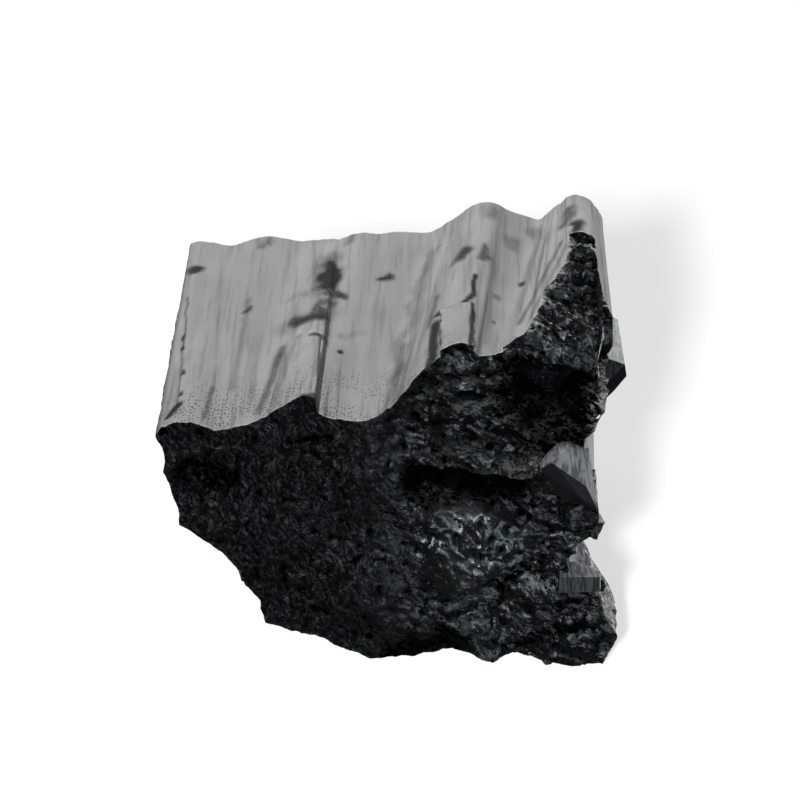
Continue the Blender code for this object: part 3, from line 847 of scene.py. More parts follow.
# %% [markdown]
# A flat spall is missing along the upper right arris, and the underside rests level. Both are
# boxes of waste: the spall's sides are divided and bent by noise, and the floor's are plain.

# %% Boxes of waste
RIGHT_SPALL = ((21.4, -20.0, 27.5), (40.0, 14.6, 50.0))  # two corners of the spall
SPALL_CUTS, SPALL_RAGGED = 45, 0.9  # how finely its sides are divided, and how far they are bent
UNDER_FLOOR = ((-40.0, -40.0, -9.0), (40.0, 70.0, 0.0))
BENDS = ((4.0, 1.0, 501), (1.5, 0.5, 511))  # of a ragged side: size, share, the pattern's number


def box_waste(name, low, high, cuts, ragged):
    """A box of waste between two corners, with its sides made uneven by up to ragged."""
    bm = bmesh.new()
    bmesh.ops.create_cube(bm, size=1.0)
    bmesh.ops.subdivide_edges(bm, edges=bm.edges, cuts=cuts, use_grid_fill=True)
    low, high = np.array(low), np.array(high)
    points = (low + high) / 2 + np.array([vert.co for vert in bm.verts]) * (high - low)
    for size, share, salt in BENDS:
        points = warped(points, size, share * ragged, salt)
    for vert, point in zip(bm.verts, points):
        vert.co = placed(point)
    for face in bm.faces:
        face.material_index = BROKEN
    return finished(name, bm)


spall = box_waste("right_spall", *RIGHT_SPALL, SPALL_CUTS, SPALL_RAGGED)
floor_waste = box_waste("floor_waste", *UNDER_FLOOR, cuts=0, ragged=0.0)
print("faces of the spall:", len(spall.data.polygons))

# %% [markdown]
# ## One solid
#
# Booleans find the line where two surfaces cross, so the edge of a break is as crisp as its
# sheets. The Manifold solver is the fast one, and every mesh here is closed, which is all it asks
# for. The waste goes first, then the small crystals are joined on, and last the underside is cut
# level where it rests.

# %% Cut and join


def combine(crystal, others, operation):
    """Adds a Boolean modifier to the crystal for each of the others."""
    for other in others:
        modifier = crystal.modifiers.new(other.name, "BOOLEAN")
        modifier.operation = operation
        modifier.solver = "MANIFOLD"
        modifier.object = other


combine(bar, wastes + [spall] + chips, "DIFFERENCE")
combine(bar, crystals + lumps, "UNION")
combine(bar, [floor_waste], "DIFFERENCE")
evaluated = bar.evaluated_get(bpy.context.evaluated_depsgraph_get())
mesh = bpy.data.meshes.new_from_object(evaluated)
mesh.name = "tourmaline_stone"
stone = bpy.data.objects.new("tourmaline_stone", mesh)
bpy.context.scene.collection.objects.link(stone)
for tool in [bar, spall, floor_waste] + wastes + chips + crystals + lumps:
    bpy.data.objects.remove(tool)
mesh.calc_loop_triangles()
print("triangles:", len(mesh.loop_triangles), f"after {time.perf_counter() - started:.1f} s")

# %% [markdown]
# ## Fine relief
#
# Every broken point now moves along its normal by small flakes, so that chips, lumps and breaks
# share one grain. A Displace modifier would move them too, but here the move has to fade at the
# edge of the growth faces, on the dome and at the floor, and stay inward near the top, so that
# no splinter stands proud of a face that was whole when the stone broke. Reading a whole mesh
# into arrays at once makes that quick.

# %% Reading and storing numbers on a mesh


def numbers_of(collection, name, width, kind=np.float32):
    """A property of every item of a mesh collection, as rows of an array."""
    found = np.empty(len(collection) * width, kind)
    collection.foreach_get(name, found)
    return found.reshape(-1, width) if width > 1 else found


def touched_by(mesh, kind):
    """Which points belong to a face of that kind."""
    found = np.zeros(len(mesh.vertices), bool)
    kinds = numbers_of(mesh.polygons, "material_index", 1, np.int32)
    sizes = numbers_of(mesh.polygons, "loop_total", 1, np.int32)
    corners = numbers_of(mesh.loops, "vertex_index", 1, np.int32)
    found[corners[np.repeat(kinds == kind, sizes)]] = True
    return found


def store(mesh, name, domain, values):
    """Keeps a number for every point or face on the mesh, where a material can read it."""
    attribute = mesh.attributes.new(name, "FLOAT", domain)
    attribute.data.foreach_set("value", values.astype(np.float32))


print("points that touch a break:", int(touched_by(mesh, BROKEN).sum()), "of", len(mesh.vertices))

# %% Fine relief on the broken faces
FINE_FLAKES = ((0.14, 2.6, 0.8, 411), (0.1, 1.1, 0.4, 421))  # height, length, width, number
FINE_BEND = (2.2, 0.5, 401)  # how they wander: size, amount, the pattern's number
FRONT_DEPTH = 2.0  # y up to which a point counts as on the front break
DOME_CALM = 0.75  # the share of the fine relief that the dome lacks
EDGE_SHARE = 0.35  # the share that is left where a break meets a growth face
FLOOR_BAND = 0.05  # points lower than this rest on the floor and stay
CREST_FROM = 29.0  # above this height, points hardly move outwards
CREST_LIFT = 0.03  # and this is the most they may


def roughened(mesh):
    """Moves the broken points along their normals, and returns how much each moved, in mm."""
    points = numbers_of(mesh.vertices, "co", 3) / MM
    normals = numbers_of(mesh.vertex_normals, "vector", 3)
    places = points + ORIGIN
    at = warped(places, *FINE_BEND)
    lift = sum(tall * flakes(at, length, width, salt) for tall, length, width, salt in FINE_FLAKES)
    in_front = places[:, 1] < FRONT_DEPTH
    lift *= 1.0 - DOME_CALM * domed(places[:, 0], places[:, 2]) * in_front
    lift *= np.where(in_front, lively(places[:, 0]), 1.0)
    broken, grown = touched_by(mesh, BROKEN), touched_by(mesh, GROWN)
    lift *= broken * np.where(grown, EDGE_SHARE, 1.0)
    lift *= points[:, 2] > FLOOR_BAND
    lift = np.where(points[:, 2] > CREST_FROM, np.minimum(lift, CREST_LIFT), lift)
    moved = points + normals * lift[:, None]
    moved[:, 2] = np.maximum(moved[:, 2], np.minimum(points[:, 2], 0.0))
    mesh.vertices.foreach_set("co", (moved * MM).astype(np.float32).ravel())
    mesh.update()
    return lift


lifts = roughened(mesh)
print("fine relief in mm:", round(float(lifts.min()), 3), "to", round(float(lifts.max()), 3))

# %% [markdown]
# ## What the materials need to know
#
# The materials paint a pale highlight along the edges of the breaks, shade in the recesses and a
# highlight on the crests. A material could find edges by itself, but only in the renderer and not
# in an export. So the mesh stores what they need for each point: how far it is from the edge of a
# break, and how sharply the surface bends there.

# %% Distance from the edge of a break


def store_rim(mesh):
    """Stores each point's distance from the nearest edge between grown and broken, in mm."""
    rim = np.flatnonzero(touched_by(mesh, BROKEN) & touched_by(mesh, GROWN))
    tree = kdtree.KDTree(len(rim))
    for order, index in enumerate(rim):
        tree.insert(mesh.vertices[index].co, order)
    tree.balance()
    reach = np.array([tree.find(vert.co)[2] for vert in mesh.vertices]) / MM
    store(mesh, "rim", "POINT", reach)
    print("points on the rim:", len(rim))


store_rim(mesh)

# %% [markdown]
# Dark marks lie on the ribbed top where the growth layer is pitted or stepped, and one of them
# is a painted shadow where the low plate ends. Painted shade darkens the deep recesses of the
# front. Each mark is a soft line between two places, which as a distance is simpler than
# painting a texture. Noise makes the outlines of the wide ones ragged.

# %% Dark marks and painted shade
# Marks on the top: x and y at one end, x and y at the other, how far the mark reaches to each
# side, and how dark it is.
TOP_MARKS = {
    "dark patch behind the wedge rib": [
        (-9.6, 26.8, -9.1, 31.8, 1.15, 1.0), (-9.6, 25.0, -8.9, 34.0, 1.5, 0.4),
        (-9.0, 25.0, -7.4, 24.2, 0.6, 0.7),
    ],
    "dark patch across the wedge rib": [
        (-12.3, 18.7, -9.7, 19.5, 1.1, 0.85), (-10.6, 20.6, -9.0, 23.0, 0.9, 0.6),
        (-13.4, 18.2, -8.6, 21.0, 1.6, 0.3),
    ],
    # Painted shadow where the low plate ends beside the wedge rib.
    "painted shadow at the end of the low plate": [(-10.2, 13.9, -9.0, 14.3, 0.45, 0.8), (-8.9, 14.6, -8.7, 24.0, 0.5, 0.25)],
    "nick in the wedge rib": [(-10.6, -0.2, -9.2, 0.6, 0.5, 1.0)],
    "spots": [
        (-25.6, 31.8, -25.5, 32.4, 0.8, 0.9), (-18.6, 22.7, -18.2, 22.9, 0.5, 0.8),
        (-3.1, 28.6, -2.3, 28.8, 0.7, 0.9), (-7.1, 12.5, -7.1, 12.8, 0.3, 0.9),
        (13.3, 22.1, 13.3, 22.5, 0.4, 0.8), (10.4, 18.4, 10.4, 18.8, 0.35, 0.7),
        (10.0, 13.0, 10.0, 13.4, 0.3, 0.6),
    ],
    "pair behind the middle rib": [(5.6, 26.2, 6.8, 27.8, 0.9, 0.6), (8.4, 25.2, 9.2, 28.6, 0.6, 0.6)],
    "edges of the high plate": [
        (7.8, 17.3, 7.9, 21.6, 0.28, 1.0), (6.9, 15.7, 7.8, 17.3, 0.4, 1.0),
        (5.2, 14.9, 6.9, 15.7, 0.3, 1.0), (3.8, 15.4, 5.2, 14.9, 0.45, 1.0),
        (3.2, 4.4, 3.6, 13.4, 0.5, 1.0), (2.9, 13.4, 3.6, 20.0, 0.4, 0.45),
        (7.5, 4.5, 7.7, 15.0, 0.22, 0.9),
    ],
    "high rib": [
        (19.6, 29.4, 19.9, 31.6, 0.8, 1.0), (18.6, 33.0, 19.2, 35.0, 1.0, 0.5),
        (12.8, 12.0, 17.9, 28.5, 0.3, 0.45), (14.0, 12.4, 18.4, 27.0, 0.25, 0.35),
    ],
    "back edge": [
        (9.8, 36.0, 9.8, 36.6, 1.3, 0.4), (12.4, 30.6, 12.6, 32.0, 1.2, 0.35),
        (14.8, 34.0, 14.9, 35.0, 1.2, 0.35), (-18.2, 37.0, -17.0, 38.0, 0.9, 0.5),
        (-7.6, 37.4, -6.8, 38.0, 0.9, 0.4),
    ],
    "dashes along the left arris": [
        (-25.3, 16.5, -25.3, 16.9, 0.25, 0.9), (-25.0, 14.1, -25.0, 14.5, 0.25, 0.9),
        (-24.5, 8.8, -24.5, 9.3, 0.25, 0.9), (-24.2, 4.4, -24.2, 5.0, 0.25, 0.9),
        (-25.2, 0.8, -24.2, 2.6, 0.35, 1.0), (-25.6, 26.0, -24.4, 1.0, 0.16, 0.5),
    ],
    "faint streaks": [
        (-1.2, 0.0, -0.2, 15.0, 0.9, 0.35), (-0.2, 15.0, 2.9, 33.0, 0.9, 0.3),
        (-6.9, 16.0, -4.8, 16.5, 0.7, 0.3), (-18.4, 25.0, -18.8, 7.0, 0.5, 0.35),
        (-13.6, 14.0, -15.4, 1.0, 0.5, 0.5), (-13.4, 25.0, -11.5, 25.4, 0.8, 0.25),
        (-21.4, 0.5, -21.0, 7.0, 0.3, 0.5),
    ],
}
# Painted shade in the recesses of the front break, in the same form, with z in place of y.
FRONT_SHADE = {
    "gully": [(1.5, 20.2, 12.8, 19.6, 1.7, 0.9)],
    "hollow": [(13.8, 28.4, 18.4, 28.4, 2.6, 1.0), (14.2, 26.2, 19.0, 26.2, 1.8, 0.85)],
    "pits at the left": [(-23.6, 21.8, -19.4, 20.6, 1.2, 0.6)],
    "foot": [(-0.5, 0.8, 6.4, 2.6, 1.6, 0.8), (13.2, 2.4, 20.4, 5.8, 0.5, 0.8)],
    "ledge under the dome": [(5.0, 7.4, 14.8, 10.9, 0.6, 0.6)],
    "notch": [(18.5, 13.4, 20.5, 13.4, 0.7, 0.5), (17.8, 7.4, 20.6, 7.6, 0.6, 0.9)],
}
FRONT_SHADE_DEPTH = 8.0  # y up to which the painted shade of the front counts
WIDE_MARK = 0.55  # marks that reach further than this are ragged
RAGGED_MARKS, CRISP_MARKS = (1.6, 0.9, 431), (1.1, 0.15, 441)  # bends: size, amount, number
MARK_FADE = (0.2, 1.7)  # a mark is full up to the first share of its reach, and gone at the second


def marked(places, marks, upward):
    """How dark the marks make each point. The wide ones have ragged outlines."""
    bent, crisp = warped(places, *RAGGED_MARKS), warped(places, *CRISP_MARKS)
    dark = np.zeros(len(places))
    full, gone = MARK_FADE
    for x0, y0, x1, y1, reach, deep in itertools.chain(*marks.values()):
        across, up = (bent if reach > WIDE_MARK else crisp)[:, [0, upward]].T
        run_x, run_y = x1 - x0, y1 - y0
        share = ((across - x0) * run_x + (up - y0) * run_y) / (run_x**2 + run_y**2)
        share = np.clip(share, 0.0, 1.0)
        away = np.hypot(across - x0 - share * run_x, up - y0 - share * run_y)
        dark = np.maximum(dark, deep * (1.0 - step(away, full * reach, gone * reach)))
    return dark


def store_marks_and_shade(mesh):
    """Stores how dark the marks and the painted shade make each point."""
    points = numbers_of(mesh.vertices, "co", 3) / MM + ORIGIN
    in_front = points[:, 1] < FRONT_SHADE_DEPTH
    # Painted shade in the recesses of the front break.
    front = marked(points, FRONT_SHADE, 2) * in_front
    dark = np.where(touched_by(mesh, GROWN), marked(points, TOP_MARKS, 1), front)
    store(mesh, "mark", "POINT", dark)
    print("share of the points in a mark:", round(float((dark > 0.1).mean()), 3))


store_marks_and_shade(mesh)

# %% [markdown]
# How far a neighbour stands above or below the plane of a point says how the surface bends
# there. The mean over all of a point's edges is above 0 in a crease and below 0 on a crest, and
# averaging it with the neighbours a few times takes out the grain of the mesh.

# %% How the surface bends
BEND_PASSES = 2  # how often the bend is averaged with its neighbours
BEND_LIMIT = 2.5  # slivers of faces can give absurd bends, so they stop at this
SHORTEST = 0.1  # edges shorter than this count as this long


def around_each(ends, values, count):
    """The mean, at each point, of a value given for both directions of every edge."""
    near = np.concatenate([ends[:, 0], ends[:, 1]])
    return np.bincount(near, values, count) / np.maximum(np.bincount(near, minlength=count), 1)


def store_bend(mesh):
    """Stores how the surface bends at each point, in 1/mm: above 0 in a crease, below on a crest."""
    points = numbers_of(mesh.vertices, "co", 3) / MM
    normals = numbers_of(mesh.vertex_normals, "vector", 3)
    first, second = numbers_of(mesh.edges, "vertices", 2, np.int32).T
    ends = np.column_stack([first, second])
    run = points[second] - points[first]
    reach = np.maximum((run**2).sum(-1), SHORTEST**2)
    rise = [(run * normals[first]).sum(-1) / reach, -(run * normals[second]).sum(-1) / reach]
    bend = around_each(ends, np.concatenate(rise), len(points))
    bend = np.clip(bend, -BEND_LIMIT, BEND_LIMIT)
    for _ in range(BEND_PASSES):
        beside = np.concatenate([bend[second], bend[first]])
        bend = 0.5 * (bend + around_each(ends, beside, len(points)))
    store(mesh, "bend", "POINT", bend)
    print("bend:", np.percentile(bend[touched_by(mesh, BROKEN)], (2, 10, 50, 90, 98)).round(2))


store_bend(mesh)

# %% [markdown]
# On the small flat crystals, the faces that look up get a painted reflection of the pale sky,
# and the one that looks straight at the viewer a weaker one. The rest stay black, so which is
# which is stored too.
# Last, curved surfaces are shaded smooth up to a sharp angle, and the flat crystals stay flat.

# %% Painted reflection on the flat faces, and smooth shading
SHEEN_UP = (0.2, 0.5)  # the upward part of a face's normal: no painted reflection at the first, full at the second
SHEEN_AHEAD, AHEAD_SHARE = (0.985, 0.995), 0.4  # the same towards the front, where the painted reflection is weaker
SHARP_ANGLE = math.radians(38)


def store_painted_sheen(mesh):
    """Stores how much painted reflection each flat face gets."""
    normals = numbers_of(mesh.polygon_normals, "vector", 3)
    upward, ahead = step(normals[:, 2], *SHEEN_UP), step(-normals[:, 1], *SHEEN_AHEAD)
    # The painted reflection, kept under the name pale.
    store(mesh, "pale", "FACE", np.maximum(upward, AHEAD_SHARE * ahead))


store_painted_sheen(mesh)
mesh.shade_smooth()
mesh.set_sharp_from_angle(angle=SHARP_ANGLE)
slots = numbers_of(mesh.polygons, "material_index", 1, np.int32)
mesh.polygons.foreach_set("use_smooth", slots != FACET)
print("faces of each kind:", dict(zip(KINDS, np.bincount(slots).tolist())))

# %% [markdown]
# ## Shader sums in Python
#
# A shader's maths is easier to read as a sum than as a tree of nodes. This class wraps a socket,
# and each operator adds the Math node that does it.

# %% Sockets that can be added and multiplied


class Wire:
    """A node's output. Sums on it add Math nodes to the same material."""

    def __init__(self, socket):
        self.socket = socket

    def maths(self, operation, *values):
        """Adds a Math node."""
        return Paint(self.socket.id_data).node("Math", {"operation": operation}, *values)

    def __add__(self, other):
        return self.maths("ADD", self, other)

    def __radd__(self, other):
        return self.maths("ADD", other, self)

    def __sub__(self, other):
        return self.maths("SUBTRACT", self, other)

    def __rsub__(self, other):
        return self.maths("SUBTRACT", other, self)

    def __mul__(self, other):
        return self.maths("MULTIPLY", self, other)

    def __rmul__(self, other):
        return self.maths("MULTIPLY", other, self)

    def clamped(self, low, high):
        """0 below low, 1 above high and an even rise between them."""
        settings = {"interpolation_type": "SMOOTHSTEP"}
        return Paint(self.socket.id_data).node("MapRange", settings, self, low, high)


class Paint:
    """A material's nodes."""

    def __init__(self, tree):
        self.tree = tree

    def node(self, kind, settings=None, *values, give=0, **named):
        """Adds a node, sets it up, fills its sockets and returns the output called give."""
        made = self.tree.nodes.new("ShaderNode" + kind)
        for name, value in (settings or {}).items():
            setattr(made, name, value)
        filled = list(enumerate(values))
        filled += [(name.replace("_", " "), value) for name, value in named.items()]
        for key, value in filled:
            if isinstance(value, Wire):
                self.tree.links.new(value.socket, made.inputs[key])
            elif value is not None:
                made.inputs[key].default_value = value
        return Wire(made.outputs[give])

    def mix(self, share, one, other):
        """A colour between two others."""
        made = self.tree.nodes.new("ShaderNodeMix")
        made.data_type = "RGBA"
        for key, value in (("Factor", share), ("A", one), ("B", other)):
            socket = next(s for s in made.inputs if s.name == key and s.enabled)
            if isinstance(value, Wire):
                self.tree.links.new(value.socket, socket)
            else:
                socket.default_value = value
        return Wire(next(s for s in made.outputs if s.enabled))

    def vector(self, operation, *values, give=0):
        """Adds a Vector Math node."""
        return self.node("VectorMath", {"operation": operation}, *values, give=give)

    def stretched(self, place, *sizes):
        """The place in units of these sizes along x, y and z."""
        return self.vector("MULTIPLY", place, tuple(1 / size for size in sizes))

    def noise(self, place, scale=1.0, detail=3.0, **more):
        """Soft noise from 0 to 1, mostly near 0.5."""
        return self.node("TexNoise", None, Vector=place, Scale=scale, Detail=detail, **more)

    def stored(self, name):
        """The number that the mesh keeps under this name."""
        return self.node("Attribute", {"attribute_name": name}, give="Fac")


print("operators on a wire:", [name for name in vars(Wire) if name.startswith("__r")])


# %% [markdown]
# ## The grown faces
#
# A growth face of schorl is black, but it shows grey, because at a low angle it mirrors the
# light behind it. Fine lines along the crystal blur that mirror across the ribs. The colour is a
# dark grey, lighter than the breaks, so part of that sheen is painted in, and the rest of the look
# comes from the roughness and from a bump that is stretched along Y. Faint brown streaks, dark
# lines, pits near the front edge, the stored marks with their one painted shadow, and a painted
# highlight along the rim break it up. A mark has to hide the mirror, not only be dark: it is
# rough, and part metallic, because a black metal mirrors nothing.

# %% Patterns that the materials share
IOR = 1.64  # tourmaline's


def start_material(name):
    """An empty material's tree as a Paint, and its Principled node."""
    material = bpy.data.materials[name]
    material.use_nodes = True
    tree = material.node_tree
    tree.nodes.clear()
    shader = tree.nodes.new("ShaderNodeBsdfPrincipled")
    output = tree.nodes.new("ShaderNodeOutputMaterial")
    tree.links.new(shader.outputs[0], output.inputs["Surface"])
    shader.inputs["IOR"].default_value = IOR
    return Paint(tree), shader


def feed(paint, shader, **wires):
    """Links a wire to each named socket of the shader, and prints how large the material is."""
    for name, wire in wires.items():
        paint.tree.links.new(wire.socket, shader.inputs[name.replace("_", " ")])
    print("nodes:", len(paint.tree.nodes), " links:", len(paint.tree.links))


def millimetres(paint):
    """Object coordinates in millimetres."""
    place = paint.node("TexCoord", None, give="Object")
    return paint.vector("MULTIPLY", place, (1 / MM, 1 / MM, 1 / MM))


def streaks(paint, place, across, along, detail=3.0):
    """Noise in lines along Y: across and along are the sizes of its marks in mm."""
    return paint.noise(paint.stretched(place, across, along, across), 1.0, detail)


def speckles(paint, place, size, amount, space="3D"):
    """Small soft-edged dots in a share of the cells of a cellular noise."""
    scaled = paint.stretched(place, size, size, size)
    kind = {"voronoi_dimensions": space}
    dots = paint.node("TexVoronoi", kind, Vector=scaled, Scale=1.0)
    pick = paint.node("TexVoronoi", kind, Vector=scaled, Scale=1.0, give=1)
    chosen = paint.node("SeparateColor", None, pick)
    return (1 - dots.clamped(0.12, 0.3)) * (1 - chosen.clamped(amount, amount + 0.02))


# %% The grown material
# The grey is the stone's dark colour and, in part, a painted sheen.
BODY_AND_SHEEN_GREY, SATIN_BROWN = (0.075, 0.077, 0.078, 1.0), (0.066, 0.058, 0.051, 1.0)
LINE_BLACK, MARK_BLACK = (0.018, 0.0165, 0.015, 1.0), (0.006, 0.006, 0.006, 1.0)
# A pale line along the rim, where a break meets a growth face, is a painted highlight.
RIM_HIGHLIGHT_GREY = (0.4, 0.4, 0.41, 1.0)
RIM_HIGHLIGHT_WITHIN = (0.03, 0.2)  # mm from the rim: the painted highlight is strong up to the first, and gone past the second
PITTED_FRONT = (-19.0, -1.0)  # y in the part's frame, where pits are many, and where they are few
GROWN_BUMP = 0.00008  # metres


def paint_grown():
    """Satin black with part of its grey sheen painted in, lined along Y, with dark marks, a painted
    shadow and a painted highlight along the rim.
    """
    paint, shader = start_material("grown")
    place = millimetres(paint)
    broad = streaks(paint, place, 2.2, 30.0)
    thin = streaks(paint, place, 0.6, 12.0, 5.0)
    hair = streaks(paint, place, 0.16, 4.0, 2.0)
    patches, grain = paint.noise(place, 0.2, 4.0), paint.noise(place, 2.4)
    in_front = 1 - paint.node("SeparateXYZ", None, place, give="Y").clamped(*PITTED_FRONT)
    # How far the dark lines, the pits and the marks hide the mirror.
    lines = thin.clamped(0.48, 0.7) * (0.45 + 0.35 * in_front)
    pits = speckles(paint, place, 0.4, 0.6, "2D") * (0.04 + 0.96 * in_front)
    pits = pits * patches.clamped(0.36, 0.56)
    # The stored marks: dark patches, pits and streaks, and one painted shadow where the low plate ends.
    marks_and_painted_shadow = paint.stored("mark") * (0.62 + 0.7 * grain)
    stain = streaks(paint, place, 4.5, 11.0).clamped(0.5, 0.75) * 0.22
    dull = (marks_and_painted_shadow.maths("MAXIMUM", marks_and_painted_shadow, pits * 0.95) + stain).clamped(0.0, 1.0)
    # A painted highlight along the rim.
    rim_highlight = 1 - paint.stored("rim").clamped(*RIM_HIGHLIGHT_WITHIN)
    colour = paint.mix(broad.clamped(0.4, 0.62), BODY_AND_SHEEN_GREY, SATIN_BROWN)
    colour = paint.mix(lines * 0.7, colour, LINE_BLACK)
    colour = paint.mix(rim_highlight * 0.5, colour, RIM_HIGHLIGHT_GREY)
    colour = paint.mix(dull, colour, MARK_BLACK)
    rough = 0.28 + 0.16 * patches + 0.24 * lines + 0.14 * broad
    rough = rough + (0.95 - rough) * dull
    height = 0.5 * thin + 0.25 * hair + 0.15 * grain - 0.8 * pits - 0.5 * marks_and_painted_shadow * grain
    bump = paint.node("Bump", None, Strength=1.0, Distance=GROWN_BUMP, Height=height)
    feed(paint, shader, Base_Color=colour, Roughness=rough, Metallic=dull * 0.45, Normal=bump)


paint_grown()

# %% [markdown]
# ## The broken faces
#
# A break in tourmaline is a heap of tiny curved facets. Each facet mirrors something else, so
# the surface is black with blue-grey glints. Modelling every facet would take millions of faces,
# so a cellular noise gives every cell its own tilt, in cells that run with the grain.

# %% Facets that follow the grain


def tilted_cells(paint, scaled):
    """A height that slants a different way in each cell, so that each cell is a small facet."""
    tree = paint.tree
    cells = tree.nodes.new("ShaderNodeTexVoronoi")
    tree.links.new(scaled.socket, cells.inputs["Vector"])
    cells.inputs["Scale"].default_value = 1.0
    offset = paint.vector("SUBTRACT", scaled, Wire(cells.outputs["Position"]))
    slant = paint.vector("SUBTRACT", Wire(cells.outputs["Color"]), (0.5, 0.5, 0.5))
    return paint.vector("DOT_PRODUCT", offset, slant, give="Value")


def with_grain(paint, place, turn, length, width):
    """The place in a space that runs with the grain, where one flake is one unit."""
    x, z = math.cos(turn), math.sin(turn)
    ways = ((x / length, 0.0, z / length), (0.0, 1 / width, 0.0), (-z / width, 0.0, x / width))
    parts = [paint.vector("DOT_PRODUCT", place, way, give="Value") for way in ways]
    return paint.node("CombineXYZ", None, *parts)


def ripples(paint, place, size, count):
    """Curved steps like those inside a shell-shaped break: count of them over each noise cell."""
    scaled = paint.stretched(place, size, size, size / 1.6)
    noise = paint.noise(scaled, 1.0, 1.5, Distortion=0.6)
    return (noise * count).maths("FRACT", noise * count)


def facets(paint, place, bent, past_turn, glossy, grain):
    """The height of the facets: long ones past the turn of the grain, and flatter on the dome."""
    left = tilted_cells(paint, with_grain(paint, bent, GRAIN_LEFT, 0.6, 0.22))
    right = tilted_cells(paint, with_grain(paint, bent, GRAIN_RIGHT, 1.1, 0.3))
    tiny = tilted_cells(paint, with_grain(paint, bent, GRAIN_LEFT, 0.32, 0.16))
    fine = left * (1 - past_turn) + right * past_turn + 0.35 * tiny
    fine = fine * (1 - 0.5 * glossy)
    return fine + 0.4 * past_turn * ripples(paint, place, 3.2, 7.0) + 0.2 * grain


# %% [markdown]
# Between the facets the stone is dead black: light that goes in there doesn't come back. So
# shade is painted on the stored marks, the stored creases and thin flecks along the grain: they are
# made rough, black and metallic, which mirrors nothing, and the facets keep their gloss. Crests get
# a painted blue-grey highlight, the dome has a clear gloss over it, and a few cells are stained
# rust red or gold.

# %% The broken material
BREAK_BLUE, BREAK_BROWN = (0.0032, 0.0044, 0.0064, 1.0), (0.0058, 0.0056, 0.0052, 1.0)
# A painted blue-grey highlight for the crests, and the black of the painted shade in the recesses.
CREST_HIGHLIGHT_GREY, SHADE_BLACK = (0.09, 0.1, 0.115, 1.0), (0.002, 0.002, 0.002, 1.0)
# A pale line along the rim: a painted highlight.
BREAK_RIM_HIGHLIGHT = (0.25, 0.25, 0.26, 1.0)
# Stains: size of the cells in mm, the share of them that is stained, the pattern's shift, colour.
STAINS = ((1.4, 0.02, 17.0, (0.08, 0.024, 0.018, 1.0)), (0.7, 0.015, 41.0, (0.14, 0.09, 0.035, 1.0)))
DOME_MIDDLE = (9.0, -21.5, 14.5)  # mm in the part's frame
DOME_GLOSS = (3.5, 8.5)  # mm from there: glossy within the first, and not past the second
CREASE = (0.06, 0.5)  # the bends at which painted shade starts in a crease, and is full
CREST = (0.25, 1.1)  # the same for crests, which get the painted highlight
BROKEN_BUMP = 0.0002  # metres
BREAK_SPECULAR = 0.44
COAT_ROUGHNESS, COAT_IOR = 0.26, 1.8


def painted_shade_places(paint, bent, past_turn, glossy):
    """Painted shade where no light comes back: marks, creases, and flecks between the facets."""
    flecks = paint.noise(with_grain(paint, bent, GRAIN_RIGHT, 1.7, 0.4))
    strands = paint.noise(with_grain(paint, bent, GRAIN_LEFT, 1.3, 0.4))
    fleck_shade = flecks.clamped(0.48, 0.6) * past_turn + strands.clamped(0.4, 0.58) * (1 - past_turn)
    fleck_shade = 0.8 * fleck_shade * (1 - 0.8 * glossy)
    painted_shade = paint.stored("mark") + 0.8 * paint.stored("bend").clamped(*CREASE) + fleck_shade
    return painted_shade.maths("MINIMUM", painted_shade, 1.0)


def break_colour(paint, place, past_turn):
    """Blue-black and brown-black patches, stained cells and a painted highlight on the crests."""
    patches = paint.noise(place, 0.22, 4.0)
    colour = paint.mix(patches.clamped(0.4, 0.62), BREAK_BLUE, BREAK_BROWN)
    for size, amount, shift, stain in STAINS:
        moved = paint.vector("ADD", place, (shift, shift, shift))
        colour = paint.mix(speckles(paint, moved, size, amount) * 0.7, colour, stain)
    # A painted highlight on the crests.
    crest = (0 - paint.stored("bend")).clamped(*CREST)
    return paint.mix(crest * (0.1 + 0.5 * past_turn), colour, CREST_HIGHLIGHT_GREY)


def paint_broken():
    """Black facets with blue-grey glints, glossier on the dome, with painted shade in the recesses and a
    painted highlight on the crests and along the rim.
    """
    paint, shader = start_material("broken")
    place = millimetres(paint)
    past_turn = paint.node("SeparateXYZ", None, place, give="X").clamped(*GRAIN_TURNS_AT)
    glossy = 1 - paint.vector("DISTANCE", place, DOME_MIDDLE, give="Value").clamped(*DOME_GLOSS)
    wander = paint.vector("MULTIPLY", paint.noise(place, 0.7, give="Color"), (2.4, 2.4, 2.4))
    bent = paint.vector("ADD", place, wander)
    grain = paint.noise(place, 1.4, 4.0)
    sparks = speckles(paint, place, 0.4, 0.12)
    # Painted shade in the recesses, creases and flecks.
    painted_shade = painted_shade_places(paint, bent, past_turn, glossy)
    # A painted highlight along the rim.
    rim_highlight = 1 - paint.stored("rim").clamped(0.03, 0.16)
    colour = paint.mix(painted_shade, break_colour(paint, place, past_turn), SHADE_BLACK)
    colour = paint.mix(rim_highlight * 0.35, colour, BREAK_RIM_HIGHLIGHT)
    rough = 0.4 - 0.18 * past_turn - 0.04 * glossy + 0.12 * grain.clamped(0.35, 0.7) - 0.2 * sparks
    rough = rough + (0.9 - rough) * painted_shade
    height = facets(paint, place, bent, past_turn, glossy, grain)
    bump = paint.node("Bump", None, Strength=1.0, Distance=BROKEN_BUMP, Height=height)
    coat = (0.3 * past_turn + 0.7 * glossy) * (1 - painted_shade)
    shader.inputs["Specular IOR Level"].default_value = BREAK_SPECULAR
    shader.inputs["Coat Roughness"].default_value = COAT_ROUGHNESS
    shader.inputs["Coat IOR"].default_value = COAT_IOR
    feed(paint, shader, Base_Color=colour, Roughness=rough, Metallic=painted_shade, Normal=bump)
    feed(paint, shader, Coat_Weight=coat)


paint_broken()

